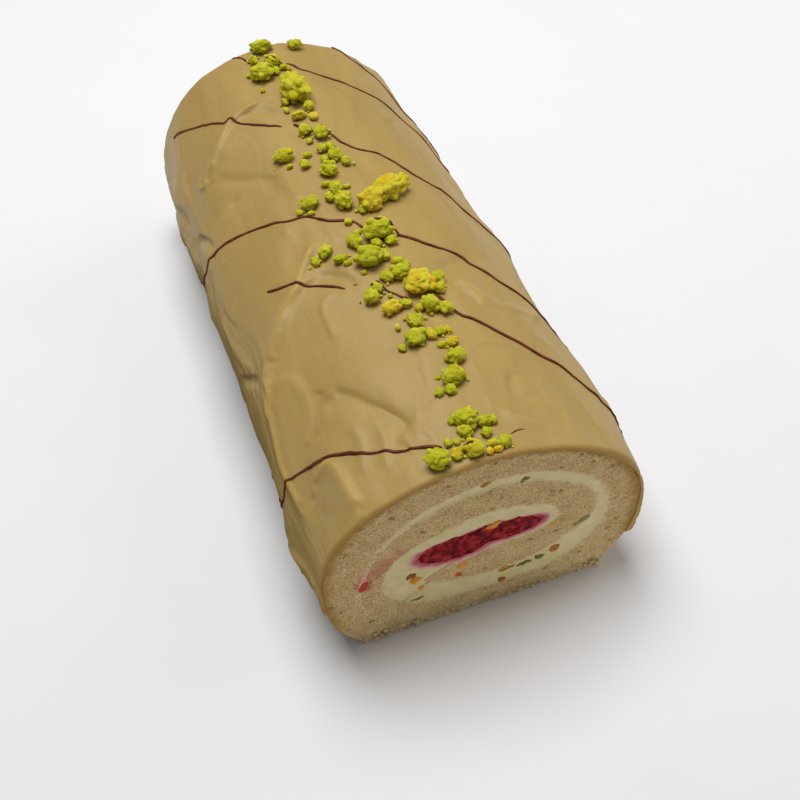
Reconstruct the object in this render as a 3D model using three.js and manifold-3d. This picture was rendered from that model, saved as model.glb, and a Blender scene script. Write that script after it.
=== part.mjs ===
// A swiss roll cake: a sponge sheet rolled up with cream round a strip of fruit jam, cut flat at both
// ends and coated with a thin glaze that carries a line of loose cake crumbs. Millimetres, +Z up. The
// roll lies along Y with its front cut facing -Y, and the origin is on the flat base, under the middle.
import * as THREE from 'three';
import { mergeVertices } from 'three/addons/utils/BufferGeometryUtils.js';
import Module from 'manifold-3d';

const wasm = await Module();
wasm.setup();

// ---------------------------------------------------------------- driving dimensions, in mm
const LENGTH = 279;
const HALF_WIDTH = 62.5; // of the sponge, without its coat
const HEIGHT = 84;
const WIDEST = 38; // height at which the roll is widest
const BELLY = 48.6; // how deep the lower oval would go if the base didn't cut it flat
const UPPER_POWER_LEFT = 2.19; // 2 is an ellipse, and more is squarer
const UPPER_POWER_RIGHT = 1.91;
const LOWER_POWER_LEFT = 2.85;
const LOWER_POWER_RIGHT = 2.4;
const COAT = 1.9; // mean thickness of the glaze
const GAP = 0.4; // clearance between one solid and the next

// The rolled layers are drawn in an oval frame: reach is measured upwards, and sideways it counts
// for STRETCH times as much.
const CORE_X = -1;
const CORE_Z = 41;
const STRETCH = 1.45;

// Reach of the cream's outer face, every eighth of a turn clockwise from the seam at the lower left
// to the end of the layer under the jam: almost two turns.
const CREAM_OUTER = [42, 32.3, 30.3, 32, 32.7, 34.8, 36.5, 31.5, 32.5, 25.3, 16, 14.5, 16.5, 21, 9.8, 7.9, 12.5];
// Reach of the cream's inner face, from the seam to the inner end of the sponge sheet.
const CREAM_INNER = [40.4, 30.7, 27.5, 27.5, 28, 31.3, 26, 22, 21.5];
const SEAM_ANGLE = 225; // degrees, in the oval frame
const SEAM_X = -41.8; // where the seam meets the base
const SEAM_WIDTH = 1.8; // of the slot, between the two thicknesses of sponge
const SEAM_RISE = 3; // the cream in it ends this far above the base
const SHEET_TIP = 5; // how far the inner end of the sheet is rounded out, in mm

// Reach of the jam strip, every eighth of a turn anticlockwise from the right.
const JAM = [16.4, 8.6, 6.6, 8.4, 17.2, 9.6, 4.6, 5.4];

// The glaze stops this far above the base, with slow waves along its lower edge.
const LIP_LEFT = 24;
const LIP_RIGHT = 17;
const LIP_WAVE = 2.5;

// Broad folds in the glaze: a crest from one point to another, each [across, along]. Across is
// measured round the outline from the middle of the top, and along is Y.
const FOLDS = [
  { from: [-22, -10], to: [-62, -54], height: 1.0, width: 4.5 },
  { from: [-62, -54], to: [-70, -121], height: 1.3, width: 5 },
  { from: [-31, -88], to: [-20, -110], height: -0.7, width: 5 },
  { from: [-49, -105], to: [-47, -130], height: 1.0, width: 5 },
  { from: [-61, -114], to: [-65, -124], height: -1.2, width: 6 },
  { from: [-41, 78], to: [-30, 96], height: 0.8, width: 5 },
  { from: [-48, 49], to: [-28, 35], height: -0.7, width: 6 },
  { from: [-30, 30], to: [-28, 8], height: 0.7, width: 6 },
  { from: [21, -42], to: [45, -30], height: -0.6, width: 5 },
  { from: [35, -118], to: [31, -91], height: 0.6, width: 6 },
  { from: [61, 18], to: [74, -6], height: 0.9, width: 6 },
  { from: [62, -66], to: [78, -85], height: 0.5, width: 6 },
  { from: [-77, 95], to: [-86, 52], height: 1.6, width: 7 },
  { from: [-76, 39], to: [-86, 16], height: 1.2, width: 6 },
  { from: [-92, -106], to: [-106, -122], height: 2.4, width: 8 },
  { from: [-96, 104], to: [-106, 88], height: 1.6, width: 9 },
  { from: [66, -134], to: [80, -104], height: 1.3, width: 9 },
  { from: [70, 48], to: [82, 24], height: 1.3, width: 8 },
];

// Cake crumbs on the glaze, each [across, along, width, length, turn in degrees].
const CRUMBS = [
  [-4, 136, 11, 7], [13, 134, 7, 6], [-9, 114, 11, 11], [-10, 128, 4, 6], [-2, 122, 7, 9], [1, 93, 12, 19, 6],
  [-5, 88, 4, 5], [4, 80, 5, 6], [-2, 75, 7, 5], [-3, 63, 5, 7], [3, 58, 6, 8], [0, 47, 5, 4], [4, 47, 4, 5],
  [-17, 50, 9, 7], [-10, 40, 4, 5], [4, 40, 6, 7], [7, 35, 4, 5], [-2, 31, 8, 9], [-3, 18, 6, 7], [-3, 8, 7, 10],
  [-7, 14, 4, 5], [-16, 14, 8, 6], [3, 1, 4, 5], [15.5, 8.5, 14, 11.5, 31], [4, -16, 13, 10, -20], [7, -22, 5, 5],
  [-7, -18, 6, 8], [-5, -30, 12, 11], [1, -30, 5, 6], [-19, -17, 6, 6], [-24, -19, 4, 5], [-15, -24, 6, 4],
  [4, -42, 8, 8], [-2, -42, 5, 6], [-7, -46, 4, 6], [-11, -50, 6, 7], [8, -52, 12, 11], [17, -48, 5, 6],
  [15, -54, 5, 5], [-6, -59, 8, 6, 20], [0, -59, 5, 4], [8, -63, 7, 8], [13, -66, 6, 6], [0, -69, 6, 7],
  [-3, -78, 8, 8], [3, -78, 4, 5], [7, -77, 4, 4], [9, -84, 5, 4], [7, -92, 8, 7], [3, -101, 9, 8], [0, -106, 4, 5],
  [-4, -106, 4, 4], [0, -121, 8, 8], [-4, -120, 4, 3], [-2, -126, 5, 6], [6, -124, 6, 4], [5, -129, 4, 4],
  [-2, -135, 7, 8], [-15, -134, 9, 8], [-8, -134, 4, 5], [9, -135, 5, 5], [8.5, 4.5, 13, 11, 31],
  [22.5, 13, 12, 9.5, 31],
];
const CRUMB_RISE = 0.72; // height over the mean of width and length
const CRUMB_SINK = 0.13; // share of its height that lies under the glaze
const FINE_CRUMB = 6.6; // crumbs smaller than this get the fewest faces

// ---------------------------------------------------------------- small helpers

// A repeatable number from 0 to 1 for each n.
function chance(n) {
  const wave = Math.sin(n * 12.9898) * 43758.5453;
  return wave - Math.floor(wave);
}

// The value at a place between the steps of a list, on a smooth curve through its entries.
function smoothAt(values, place) {
  const last = values.length - 1;
  const step = Math.min(Math.floor(place), last - 1);
  const at = (k) => values[Math.min(Math.max(k, 0), last)];
  const t = place - step;
  const slopeIn = (at(step + 1) - at(step - 1)) / 2;
  const slopeOut = (at(step + 2) - at(step)) / 2;
  const rise = at(step + 1) - at(step);
  return at(step) + t * (slopeIn + t * (3 * rise - 2 * slopeIn - slopeOut + t * (slopeIn + slopeOut - 2 * rise)));
}

// A point of the oval frame as [x, z].
function ovalPoint(degrees, reach) {
  const angle = THREE.MathUtils.degToRad(degrees);
  return [CORE_X + STRETCH * reach * Math.cos(angle), CORE_Z + reach * Math.sin(angle)];
}

// A closed mesh as a solid.
function solid(geometry) {
  geometry.deleteAttribute('normal');
  geometry.deleteAttribute('uv');
  const merged = mergeVertices(geometry, 1e-4);
  return new wasm.Manifold(new wasm.Mesh({
    numProp: 3,
    vertProperties: merged.attributes.position.array,
    triVerts: new Uint32Array(merged.index.array),
  }));
}

function geometryOf(manifold) {
  const mesh = manifold.getMesh();
  const geometry = new THREE.BufferGeometry();
  geometry.setAttribute('position', new THREE.BufferAttribute(mesh.vertProperties, 3));
  geometry.setIndex(new THREE.BufferAttribute(mesh.triVerts, 1));
  geometry.computeVertexNormals();
  return geometry;
}

// ---------------------------------------------------------------- the roll's own unevenness

// Moves a section point [x, z] as the roll grows taller and rounder-shouldered towards the back, and
// its middle drifts. The front cut is left as drawn, the base stays flat, and every layer moves alike.
function uneven([x, z], y) {
  const along = (y + LENGTH / 2) / LENGTH;
  const shoulder = (x / HALF_WIDTH) ** 2;
  const wide = 1 + 0.02 * Math.sin(Math.PI * along) - 0.026 * along;
  const sideways = 0.6 * along + 0.4 * Math.sin(Math.PI * along) + 0.7 * Math.sin(2 * Math.PI * along);
  const tall = 1 + along * (0.036 - 0.09 * shoulder);
  const inside = Math.max(0, 1 - Math.hypot((x - CORE_X) / HALF_WIDTH, (z - CORE_Z) / (HEIGHT - CORE_Z)));
  const drift = 7 * inside * Math.sin(1.3 * Math.PI * along);
  const lift = 3.5 * inside * Math.sin(1.8 * Math.PI * along);
  return [x * wide + sideways + drift, z * tall + lift];
}

// Joins sections into a closed solid. sectionAt gives the outline at y, and holesAt the outlines of
// its holes, each with the same number of points at every y. Outlines may run either way round: two
// that touch face to face run the same way, and then their side faces are split alike.
function loft(stations, sectionAt, holesAt = () => []) {
  const rings = stations.map((y) => [sectionAt(y), ...holesAt(y)]);
  const counts = rings[0].map((ring) => ring.length);
  const perStation = counts.reduce((sum, count) => sum + count, 0);
  const positions = rings.flatMap((ring, k) => ring.flat().flatMap(([x, z]) => [x, stations[k], z]));
  const faces = [];

  const outlines = rings[0].map((ring) => ring.map(([x, z]) => new THREE.Vector2(x, z)));
  const flat = outlines.flat();
  const last = perStation * (stations.length - 1);
  for (const cap of THREE.ShapeUtils.triangulateShape(outlines[0], outlines.slice(1))) {
    const clockwise = THREE.ShapeUtils.area(cap.map((k) => flat[k])) < 0;
    const [a, b, c] = clockwise ? [cap[0], cap[2], cap[1]] : cap;
    faces.push(a, b, c, last + a, last + c, last + b);
  }

  const isHole = (ring) => ring > 0;
  const facesOut = outlines.map((ring, k) => THREE.ShapeUtils.area(ring) > 0 !== isHole(k));
  for (let station = 0; station + 1 < stations.length; station++) {
    let start = station * perStation;
    counts.forEach((count, ring) => {
      for (let k = 0; k < count; k++) {
        const near = start + k;
        const nearNext = start + ((k + 1) % count);
        const [far, farNext] = [near + perStation, nearNext + perStation];
        if (facesOut[ring]) faces.push(near, farNext, nearNext, near, far, farNext);
        else faces.push(near, nearNext, farNext, near, farNext, far);
      }
      start += count;
    });
  }

  const geometry = new THREE.BufferGeometry();
  geometry.setAttribute('position', new THREE.Float32BufferAttribute(positions, 3));
  geometry.setIndex(faces);
  return geometry;
}

// Evenly spaced places along the roll, from one y to another.
function stationsBetween(from, to, spans) {
  return Array.from({ length: spans + 1 }, (_, k) => from + ((to - from) * k) / spans);
}

const LAYER_STATIONS = stationsBetween(-LENGTH / 2, LENGTH / 2, 5);
const unevenRing = (ring, y) => ring.map((point) => uneven(point, y));

// ---------------------------------------------------------------- section of the roll

// The outline's power on the side of the roll where x lies, above and below its widest height.
function upperPower(x) {
  return x < 0 ? UPPER_POWER_LEFT : UPPER_POWER_RIGHT;
}

function lowerPower(x) {
  return x < 0 ? LOWER_POWER_LEFT : LOWER_POWER_RIGHT;
}

// The roll's outline, grown by a thickness: from the right end of the flat base over the top to the
// left end, in a number of steps.
function outline(steps, grow = 0) {
  const lowAngle = (x) => Math.asin((WIDEST / (BELLY + grow)) ** (lowerPower(x) / 2));
  const [lowRight, lowLeft] = [lowAngle(1), lowAngle(-1)];
  return Array.from({ length: steps + 1 }, (_, k) => {
    const angle = -lowRight + ((Math.PI + lowRight + lowLeft) * k) / steps;
    const upper = Math.sin(angle) >= 0;
    const power = upper ? upperPower(Math.cos(angle)) : lowerPower(Math.cos(angle));
    const side = Math.sign(Math.cos(angle)) * Math.abs(Math.cos(angle)) ** (2 / power);
    const rise = Math.abs(Math.sin(angle)) ** (2 / power);
    const z = upper ? WIDEST + (HEIGHT + grow - WIDEST) * rise : WIDEST - (BELLY + grow) * rise;
    return [(HALF_WIDTH + grow) * side, Math.max(z, 0)];
  });
}

const STEPS_A_EIGHTH = 4;

// One face of the cream, as points clockwise from the seam; shift moves it outwards.
function creamFace(reaches, shift = 0) {
  const count = (reaches.length - 1) * STEPS_A_EIGHTH;
  return Array.from({ length: count + 1 }, (_, k) => {
    const eighths = k / STEPS_A_EIGHTH;
    return ovalPoint(SEAM_ANGLE - 45 * eighths, smoothAt(reaches, eighths) + shift);
  });
}

// Rounds the sheet's inner end: points on a bulge from one point to the next, bulging to the left.
function roundedTip([x0, z0], [x1, z1], bulge) {
  return [0.2, 0.5, 0.8].map((t) => {
    const out = bulge * Math.sin(Math.PI * t);
    return [x0 + (x1 - x0) * t - out, z0 + (z1 - z0) * t - 0.3 * out];
  });
}

// The rolled sheet: the outline, cut by the slot that the cream fills.
function spongeSection() {
  const outer = creamFace(CREAM_OUTER);
  const inner = creamFace(CREAM_INNER);
  const tip = roundedTip(inner.at(-1), outer.at(-1), SHEET_TIP);
  const [slotLeft, slotRight] = [[SEAM_X - SEAM_WIDTH / 2, 0], [SEAM_X + SEAM_WIDTH / 2, 0]];
  return [...outline(48), slotLeft, ...outer, ...tip.toReversed(), ...inner.toReversed(), slotRight];
}

// The cream: the slot less its clearance, closed a little above the base.
function creamSection() {
  const outer = creamFace(CREAM_OUTER, -GAP / STRETCH);
  const inner = creamFace(CREAM_INNER, GAP / STRETCH);
  const tip = roundedTip(inner.at(-1), outer.at(-1), SHEET_TIP + GAP);
  const half = SEAM_WIDTH / 2 - GAP;
  const x = SEAM_X + ((outer[0][0] + inner[0][0]) / 2 - SEAM_X) * (SEAM_RISE / inner[0][1]);
  const [footLeft, footRight] = [[x - half, SEAM_RISE], [x + half, SEAM_RISE]];
  return [footLeft, ...outer, ...tip.toReversed(), ...inner.toReversed(), footRight];
}

// The jam strip, with shift as extra size all round.
function jamSection(shift = 0) {
  const closed = [...JAM, JAM[0]];
  const count = JAM.length * STEPS_A_EIGHTH;
  return Array.from({ length: count }, (_, k) => {
    const eighths = k / STEPS_A_EIGHTH;
    return ovalPoint(45 * eighths, smoothAt(closed, eighths) + shift);
  });
}

function layer(section, hole) {
  return loft(
    LAYER_STATIONS,
    (y) => unevenRing(section, y),
    (y) => (hole ? [unevenRing(hole, y)] : []),
  );
}

// ---------------------------------------------------------------- the glaze and what lies on it

function smoothStep(low, high, value) {
  const t = Math.min(Math.max((value - low) / (high - low), 0), 1);
  return t * t * (3 - 2 * t);
}

// Distance from a point to a fold's crest, all in [across, along].
function offCrest([across, along], { from, to }) {
  const [dx, dy] = [to[0] - from[0], to[1] - from[1]];
  const share = ((across - from[0]) * dx + (along - from[1]) * dy) / (dx * dx + dy * dy);
  const t = Math.min(Math.max(share, 0), 1);
  return Math.hypot(across - from[0] - t * dx, along - from[1] - t * dy);
}

// How far the glaze stands above its mean surface: slow swells, deeper down the sides, plus folds.
function relief(across, along) {
  const depth = 0.3 + 0.8 * smoothStep(35, 75, Math.abs(across));
  const swell = Math.sin(along / 14 + 1.7 * Math.sin(across / 19)) * Math.sin(across / 16 + 0.8 * Math.sin(along / 31));
  const folds = FOLDS.reduce((sum, fold) => {
    const away = offCrest([across, along], fold) / fold.width;
    return sum + fold.height * Math.exp(-away * away);
  }, 0);
  return Math.max(depth * swell + folds, 0.9 - COAT);
}

const COAT_STEPS = 48;
const COAT_SPANS = 40;

// The outside of the glaze at y: the grown outline, pushed out along its normal by the relief.
function coatRing(y) {
  const base = outline(COAT_STEPS, COAT);
  const lengths = [0];
  for (let k = 1; k < base.length; k++) {
    lengths.push(lengths[k - 1] + Math.hypot(base[k][0] - base[k - 1][0], base[k][1] - base[k - 1][1]));
  }
  const middle = lengths.at(-1) / 2;
  return base.map(([x, z], k) => {
    const [x0, z0] = base[Math.max(k - 1, 0)];
    const [x1, z1] = base[Math.min(k + 1, base.length - 1)];
    const span = Math.hypot(x1 - x0, z1 - z0);
    const push = z > 0 ? relief(middle - lengths[k], y) : 0;
    return uneven([x + (push * (z1 - z0)) / span, z - (push * (x1 - x0)) / span], y);
  });
}

// The height of the glaze's lower edge at y, on one side.
function lip(middle, y, phase) {
  return middle + LIP_WAVE * Math.sin(y / 17 + phase) + 0.5 * LIP_WAVE * Math.sin(y / 6.5 + 2 * phase);
}

// The coat: all that stands outside the sponge and above the glaze's lower edge.
function coat(crumbs) {
  const half = LENGTH / 2;
  const filled = solid(loft(stationsBetween(-half, half, COAT_SPANS), coatRing));
  const outside = wasm.Manifold.union([filled, ...crumbs]);
  const inside = outline(48, GAP);
  const clampY = (y) => Math.min(Math.max(y, -half), half);
  const past = [-half - 5, ...LAYER_STATIONS, half + 5];
  const core = solid(loft(past, (y) => unevenRing(inside, clampY(y))));
  const wide = HALF_WIDTH + 30;
  const below = solid(loft(stationsBetween(-half - 5, half + 5, 28), (y) => [
    [-wide, -5], [wide, -5], [wide, lip(LIP_RIGHT, y, 1)], [-wide, lip(LIP_LEFT, y, 4)],
  ]));
  return outside.subtract(core).subtract(below);
}

// Where the glaze's surface is above a place on the top of the roll.
function onGlaze(across, along) {
  const power = upperPower(across);
  const share = 1 - (Math.abs(across) / (HALF_WIDTH + COAT)) ** power;
  const z = WIDEST + (HEIGHT + COAT - WIDEST) * share ** (1 / power);
  const [x, height] = uneven([across, z], along);
  return new THREE.Vector3(x, along, height);
}

// A lumpy pebble, sunk a little into the glaze.
function crumb([across, along, width, length, turn = 0], index) {
  const size = (width + length) / 2;
  const height = size * CRUMB_RISE;
  const geometry = new THREE.IcosahedronGeometry(0.5, size < FINE_CRUMB ? 0 : 1);
  const merged = mergeVertices(geometry.deleteAttribute('normal').deleteAttribute('uv'), 1e-3);
  const points = merged.attributes.position;
  for (let k = 0; k < points.count; k++) {
    const lump = 0.86 + 0.28 * chance(97 * (index + 1) + k);
    points.setXYZ(k, points.getX(k) * lump, points.getY(k) * lump, points.getZ(k) * lump);
  }
  merged.scale(width, length, height);
  merged.rotateZ(THREE.MathUtils.degToRad(turn));
  const limit = LENGTH / 2 - 0.58 * length;
  const place = onGlaze(across, Math.min(Math.max(along, -limit), limit));
  return solid(merged.translate(place.x, place.y, place.z + height * (0.5 - CRUMB_SINK)));
}

// The coat and its crumbs as one body, with the pockets sealed between crumbs filled in.
function glaze() {
  const joined = coat(CRUMBS.map(crumb));
  return joined.decompose().toSorted((a, b) => b.volume() - a.volume())[0];
}

// ---------------------------------------------------------------- the part

function piece(name, geometry, colour, roughness) {
  const material = new THREE.MeshStandardMaterial({ color: colour, roughness, metalness: 0 });
  const mesh = new THREE.Mesh(geometry, material);
  mesh.name = name;
  return mesh;
}

const cake = new THREE.Group();
cake.add(
  piece('sponge', layer(spongeSection()), 0xd9c29b, 0.95),
  piece('cream', layer(creamSection(), jamSection(GAP)), 0xe3d9b0, 0.6),
  piece('jam', layer(jamSection()), 0x7d1524, 0.35),
  piece('glaze', geometryOf(glaze()), 0xad8c52, 0.45),
);

export default cake;
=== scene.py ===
"""Looks of a glazed swiss roll cake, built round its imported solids.

The roll lies along Y with its front cut facing -Y, and rests on Z = 0. Shapes are worked out in
millimetres and stored in metres. The section of the roll is drawn in an oval frame round the jam:
an angle in degrees, and a reach that is measured upwards and counts STRETCH times as much sideways.
"""

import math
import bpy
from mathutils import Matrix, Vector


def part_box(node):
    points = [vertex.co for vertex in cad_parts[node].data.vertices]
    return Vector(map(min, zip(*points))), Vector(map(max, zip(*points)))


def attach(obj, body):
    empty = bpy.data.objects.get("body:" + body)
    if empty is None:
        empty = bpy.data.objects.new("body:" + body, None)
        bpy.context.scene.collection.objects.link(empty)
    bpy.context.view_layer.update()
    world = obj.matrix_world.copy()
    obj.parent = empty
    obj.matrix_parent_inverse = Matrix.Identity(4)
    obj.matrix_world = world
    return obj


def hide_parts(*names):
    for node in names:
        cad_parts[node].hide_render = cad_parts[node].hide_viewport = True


bl_info = {
    "name": "Glazed swiss roll",
    "version": (1, 0, 0),
    "blender": (4, 5, 0),
    "location": "View3D > Sidebar > Swiss roll",
    "description": "Builds a glazed swiss roll cake from sponge, cream, jam, glaze and crumbs",
    "category": "Add Mesh",
}

import bpy
import numpy as np
from mathutils import Matrix, Vector

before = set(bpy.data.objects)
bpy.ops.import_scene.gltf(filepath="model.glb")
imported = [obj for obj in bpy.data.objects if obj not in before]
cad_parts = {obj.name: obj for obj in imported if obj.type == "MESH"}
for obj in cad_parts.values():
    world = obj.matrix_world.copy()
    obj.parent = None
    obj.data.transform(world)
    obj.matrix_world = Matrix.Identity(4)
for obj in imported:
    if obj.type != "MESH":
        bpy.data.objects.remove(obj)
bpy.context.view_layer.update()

MM = 0.001
SPONGE_LOW, SPONGE_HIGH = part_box("sponge")
HALF_LENGTH = (SPONGE_HIGH.y - SPONGE_LOW.y) / 2 / MM

# ------------------------------------------------------------------ the roll's driving sizes, mm
HALF_WIDTH = 62.5        # of the sponge, without its coat
HEIGHT = 84.0
WIDEST = 38.0            # height at which the roll is widest
BELLY = 48.6             # how deep the lower oval would go if the base didn't cut it flat
UPPER_POWER_LEFT = 2.19  # 2 is an ellipse, and more is squarer
UPPER_POWER_RIGHT = 1.91
LOWER_POWER_LEFT = 2.85
LOWER_POWER_RIGHT = 2.4
COAT = 1.9               # mean thickness of the glaze
CORE_X = -1.0
CORE_Z = 41.0
STRETCH = 1.45
# Reach of the cream's outer face every eighth of a turn from the seam, and of its inner face.
CREAM_OUTER = (42, 32.3, 30.3, 32, 32.7, 34.8, 36.5, 31.5, 32.5,
               25.3, 16, 14.5, 16.5, 21, 9.8, 7.9, 12.5)
CREAM_INNER = (40.4, 30.7, 27.5, 27.5, 28, 31.3, 26, 22, 21.5)
SEAM_ANGLE = 225.0       # degrees, in the oval frame
SEAM_X = -41.8           # where the seam meets the base
SEAM_WIDTH = 1.8
FLAP_TURN = -11.0        # degrees, about where the sheet starts, short of the seam
SHEET_TIP = 5.0          # how far the sheet's inner end is rounded out
JAM = (16.4, 8.6, 6.6, 8.4, 17.2, 9.6, 4.6, 5.4)  # reach every eighth of a turn from the right
LIP_LEFT = 24.0          # height of the glaze's lower edge on each side, and of its waves
LIP_RIGHT = 17.0
LIP_WAVE = 2.5
# How the section changes along the roll.
WIDER_MIDWAY = 0.02      # shares of the width
NARROWER_AT_BACK = 0.026
TALLER_AT_BACK = 0.036   # share of the height in the middle, and how much less it is at the sides
SHOULDERS_AT_BACK = 0.09
SWAY = (0.6, 0.4, 0.7)   # sideways: a lean to the back, a bow and an S
CORE_DRIFT = 7.0         # how far the middle of the spiral strays sideways, and upwards
CORE_LIFT = 3.5
ON_CUT = 0.01            # a point within this of a cut lies on it

# ------------------------------------------------------------------ small helpers


def linear(text):
    """The linear colour of an sRGB hex value such as "#a08050", by the sRGB curve."""
    channels = [int(text[k:k + 2], 16) / 255 for k in (1, 3, 5)]
    return tuple(c / 12.92 if c <= 0.04045 else ((c + 0.055) / 1.055) ** 2.4 for c in channels)


def smooth_step(low, high, value):
    """0 below low, 1 above high, and an S-curve between them."""
    t = np.clip((value - low) / (high - low), 0, 1)
    return t * t * (3 - 2 * t)


def smooth_at(values, place):
    """The value at a place between the steps of a list, on the cubic through its neighbours."""
    values = np.asarray(values, float)
    last = len(values) - 1
    step = np.clip(np.floor(place).astype(int), 0, last - 1)
    t = np.clip(place, 0, last) - step
    before, here, after, beyond = (values[np.clip(step + k, 0, last)] for k in (-1, 0, 1, 2))
    slope_in, slope_out, rise = (after - before) / 2, (beyond - here) / 2, after - here
    return here + t * (slope_in + t * (3 * rise - 2 * slope_in - slope_out
                                       + t * (slope_in + slope_out - 2 * rise)))


def chance(n):
    """A repeatable number from 0 to 1 for each n, the same as the solids use."""
    wave = math.sin(n * 12.9898) * 43758.5453
    return wave - math.floor(wave)


NOISE_ORIGIN = 4096  # cells are counted from here, so that no count is negative


def lattice(cell, seed):
    """A random number from 0 to 1 for each whole-number corner.

    Its three counts and the seed are multiplied by large odd numbers, added, and scrambled twice
    by shifting the sum onto itself. The lowest 24 bits are the number.
    """
    bits = (cell[..., 0] * 374761393 + cell[..., 1] * 668265263 + cell[..., 2] * 1274126177
            + seed * 974634777)
    bits = (bits ^ (bits >> 13)) * 1103515245 & 0x7FFFFFFF
    bits = (bits ^ (bits >> 16)) * 69069 & 0x7FFFFFFF
    return (bits & 0xFFFFFF) / 0xFFFFFF


def noise(points, size, seed):
    """Smooth random value from -1 to 1: random corners of cubes of that size, blended inside each."""
    place = np.asarray(points) / size + NOISE_ORIGIN
    cell = np.floor(place).astype(np.int64)
    t = place - cell
    t = t * t * (3 - 2 * t)
    total = 0
    for corner in np.ndindex(2, 2, 2):
        weight = np.prod(np.where(np.array(corner) == 1, t, 1 - t), axis=-1)
        total = total + weight * lattice(cell + corner, seed)
    return 2 * total - 1


def layered_noise(points, size, seed, layers=3):
    """Noise of halving size and strength, added up."""
    return sum(noise(points, size / 2 ** k, seed + k) / 2 ** k for k in range(layers))


def cells(points, size, seed):
    """Distance to the nearest of the points that lie one to a cube, as a share of the cube's size."""
    place = np.asarray(points) / size + NOISE_ORIGIN
    cell = np.floor(place).astype(np.int64)
    nearest = np.full(place.shape[:-1], np.inf)
    for offset in np.ndindex(3, 3, 3):
        near = cell + np.array(offset) - 1
        dot = near + np.stack([lattice(near, seed + k) for k in range(3)], axis=-1)
        nearest = np.minimum(nearest, np.linalg.norm(place - dot, axis=-1))
    return nearest


# ------------------------------------------------------------------ meshes


def box_grid(counts):
    """The surface of a unit box as a grid: its points, each coordinate from 0 to 1, and its quads.

    Each side is a grid of two of the three counts. Points shared by two sides are one point.
    """
    counts = np.array(counts)
    corners = []
    for axis in range(3):
        first, second = (axis + 1) % 3, (axis + 2) % 3
        i, j = np.meshgrid(np.arange(counts[first]), np.arange(counts[second]), indexing="ij")
        around = [(0, 0), (1, 0), (1, 1), (0, 1)]
        for end in (0, 1):
            quad = np.zeros((i.size, 4, 3), np.int64)
            for k, (di, dj) in enumerate(around if end else around[::-1]):
                quad[:, k, first] = (i + di).ravel()
                quad[:, k, second] = (j + dj).ravel()
                quad[:, k, axis] = end * counts[axis]
            corners.append(quad)
    quads = np.concatenate(corners)
    spans = counts + 1
    keys = (quads[..., 0] * spans[1] + quads[..., 1]) * spans[2] + quads[..., 2]
    unique, faces = np.unique(keys, return_inverse=True)
    steps = [unique // (spans[1] * spans[2]), unique // spans[2] % spans[1], unique % spans[2]]
    return np.stack(steps, axis=-1) / counts, faces.reshape(-1, 4)


def cut_rim(units):
    """Which points of a box grid along the roll lie round the edge of a cut."""
    ends = (units == 0) | (units == 1)
    return ends[:, 2] & (ends[:, 0] | ends[:, 1])


def pinched(share, count, margin):
    """Shares of an even grid with the first and last step narrowed to a margin, the rest evened out."""
    inner = margin + (share * count - 1) / (count - 2) * (1 - 2 * margin)
    return np.where(share < 0.5 / count, 0, np.where(share > 1 - 0.5 / count, 1, inner))


def ball_grid(count):
    """A unit ball from the box grid: each point is pulled to distance 1 from the middle."""
    points, faces = box_grid((count, count, count))
    points = np.tan((points * 2 - 1) * math.pi / 4)
    return points / np.linalg.norm(points, axis=1, keepdims=True), faces


def piece(name, points, faces, material, replaces=(), values=None, rim=None):
    """A finished piece from points in mm and rows of corner numbers. values are numbers by point.

    rim says which points lie on a crisp edge: an edge between two of them is shaded sharp.
    """
    mesh = bpy.data.meshes.new(name)
    groups = faces if isinstance(faces, list) else [faces]
    corners = np.concatenate([group.ravel() for group in groups])
    sizes = np.concatenate([np.full(len(group), group.shape[1]) for group in groups])
    mesh.vertices.add(len(points))
    mesh.vertices.foreach_set("co", (np.asarray(points) * MM).astype(np.float32).ravel())
    mesh.loops.add(len(corners))
    mesh.loops.foreach_set("vertex_index", corners.astype(np.int32))
    mesh.polygons.add(len(sizes))
    mesh.polygons.foreach_set("loop_start", (np.cumsum(sizes) - sizes).astype(np.int32))
    mesh.polygons.foreach_set("use_smooth", np.ones(len(sizes), bool))
    for title, numbers in (values or {}).items():
        attribute = mesh.attributes.new(title, "FLOAT", "POINT")
        attribute.data.foreach_set("value", np.asarray(numbers, np.float32))
    mesh.update(calc_edges=True)
    mesh.validate()
    if rim is not None:
        ends = np.zeros(2 * len(mesh.edges), np.int32)
        mesh.edges.foreach_get("vertices", ends)
        mesh.edges.foreach_set("use_edge_sharp", np.all(rim[ends.reshape(-1, 2)], axis=1))
    made = bpy.data.objects.new(name, mesh)
    bpy.context.scene.collection.objects.link(made)
    mesh.materials.append(material)
    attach(made, "root")
    if replaces:
        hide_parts(*replaces)
    return made


def joined(parts):
    """Several (points, faces, values by name) as one, with the corner numbers moved along."""
    starts = np.cumsum([0] + [len(points) for points, _, _ in parts])
    points = np.concatenate([part[0] for part in parts])
    faces = np.concatenate([part[1] + start for part, start in zip(parts, starts)])
    values = {title: np.concatenate([part[2][title] for part in parts]) for title in parts[0][2]}
    return points, faces, values


# ------------------------------------------------------------------ section of the roll


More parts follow.
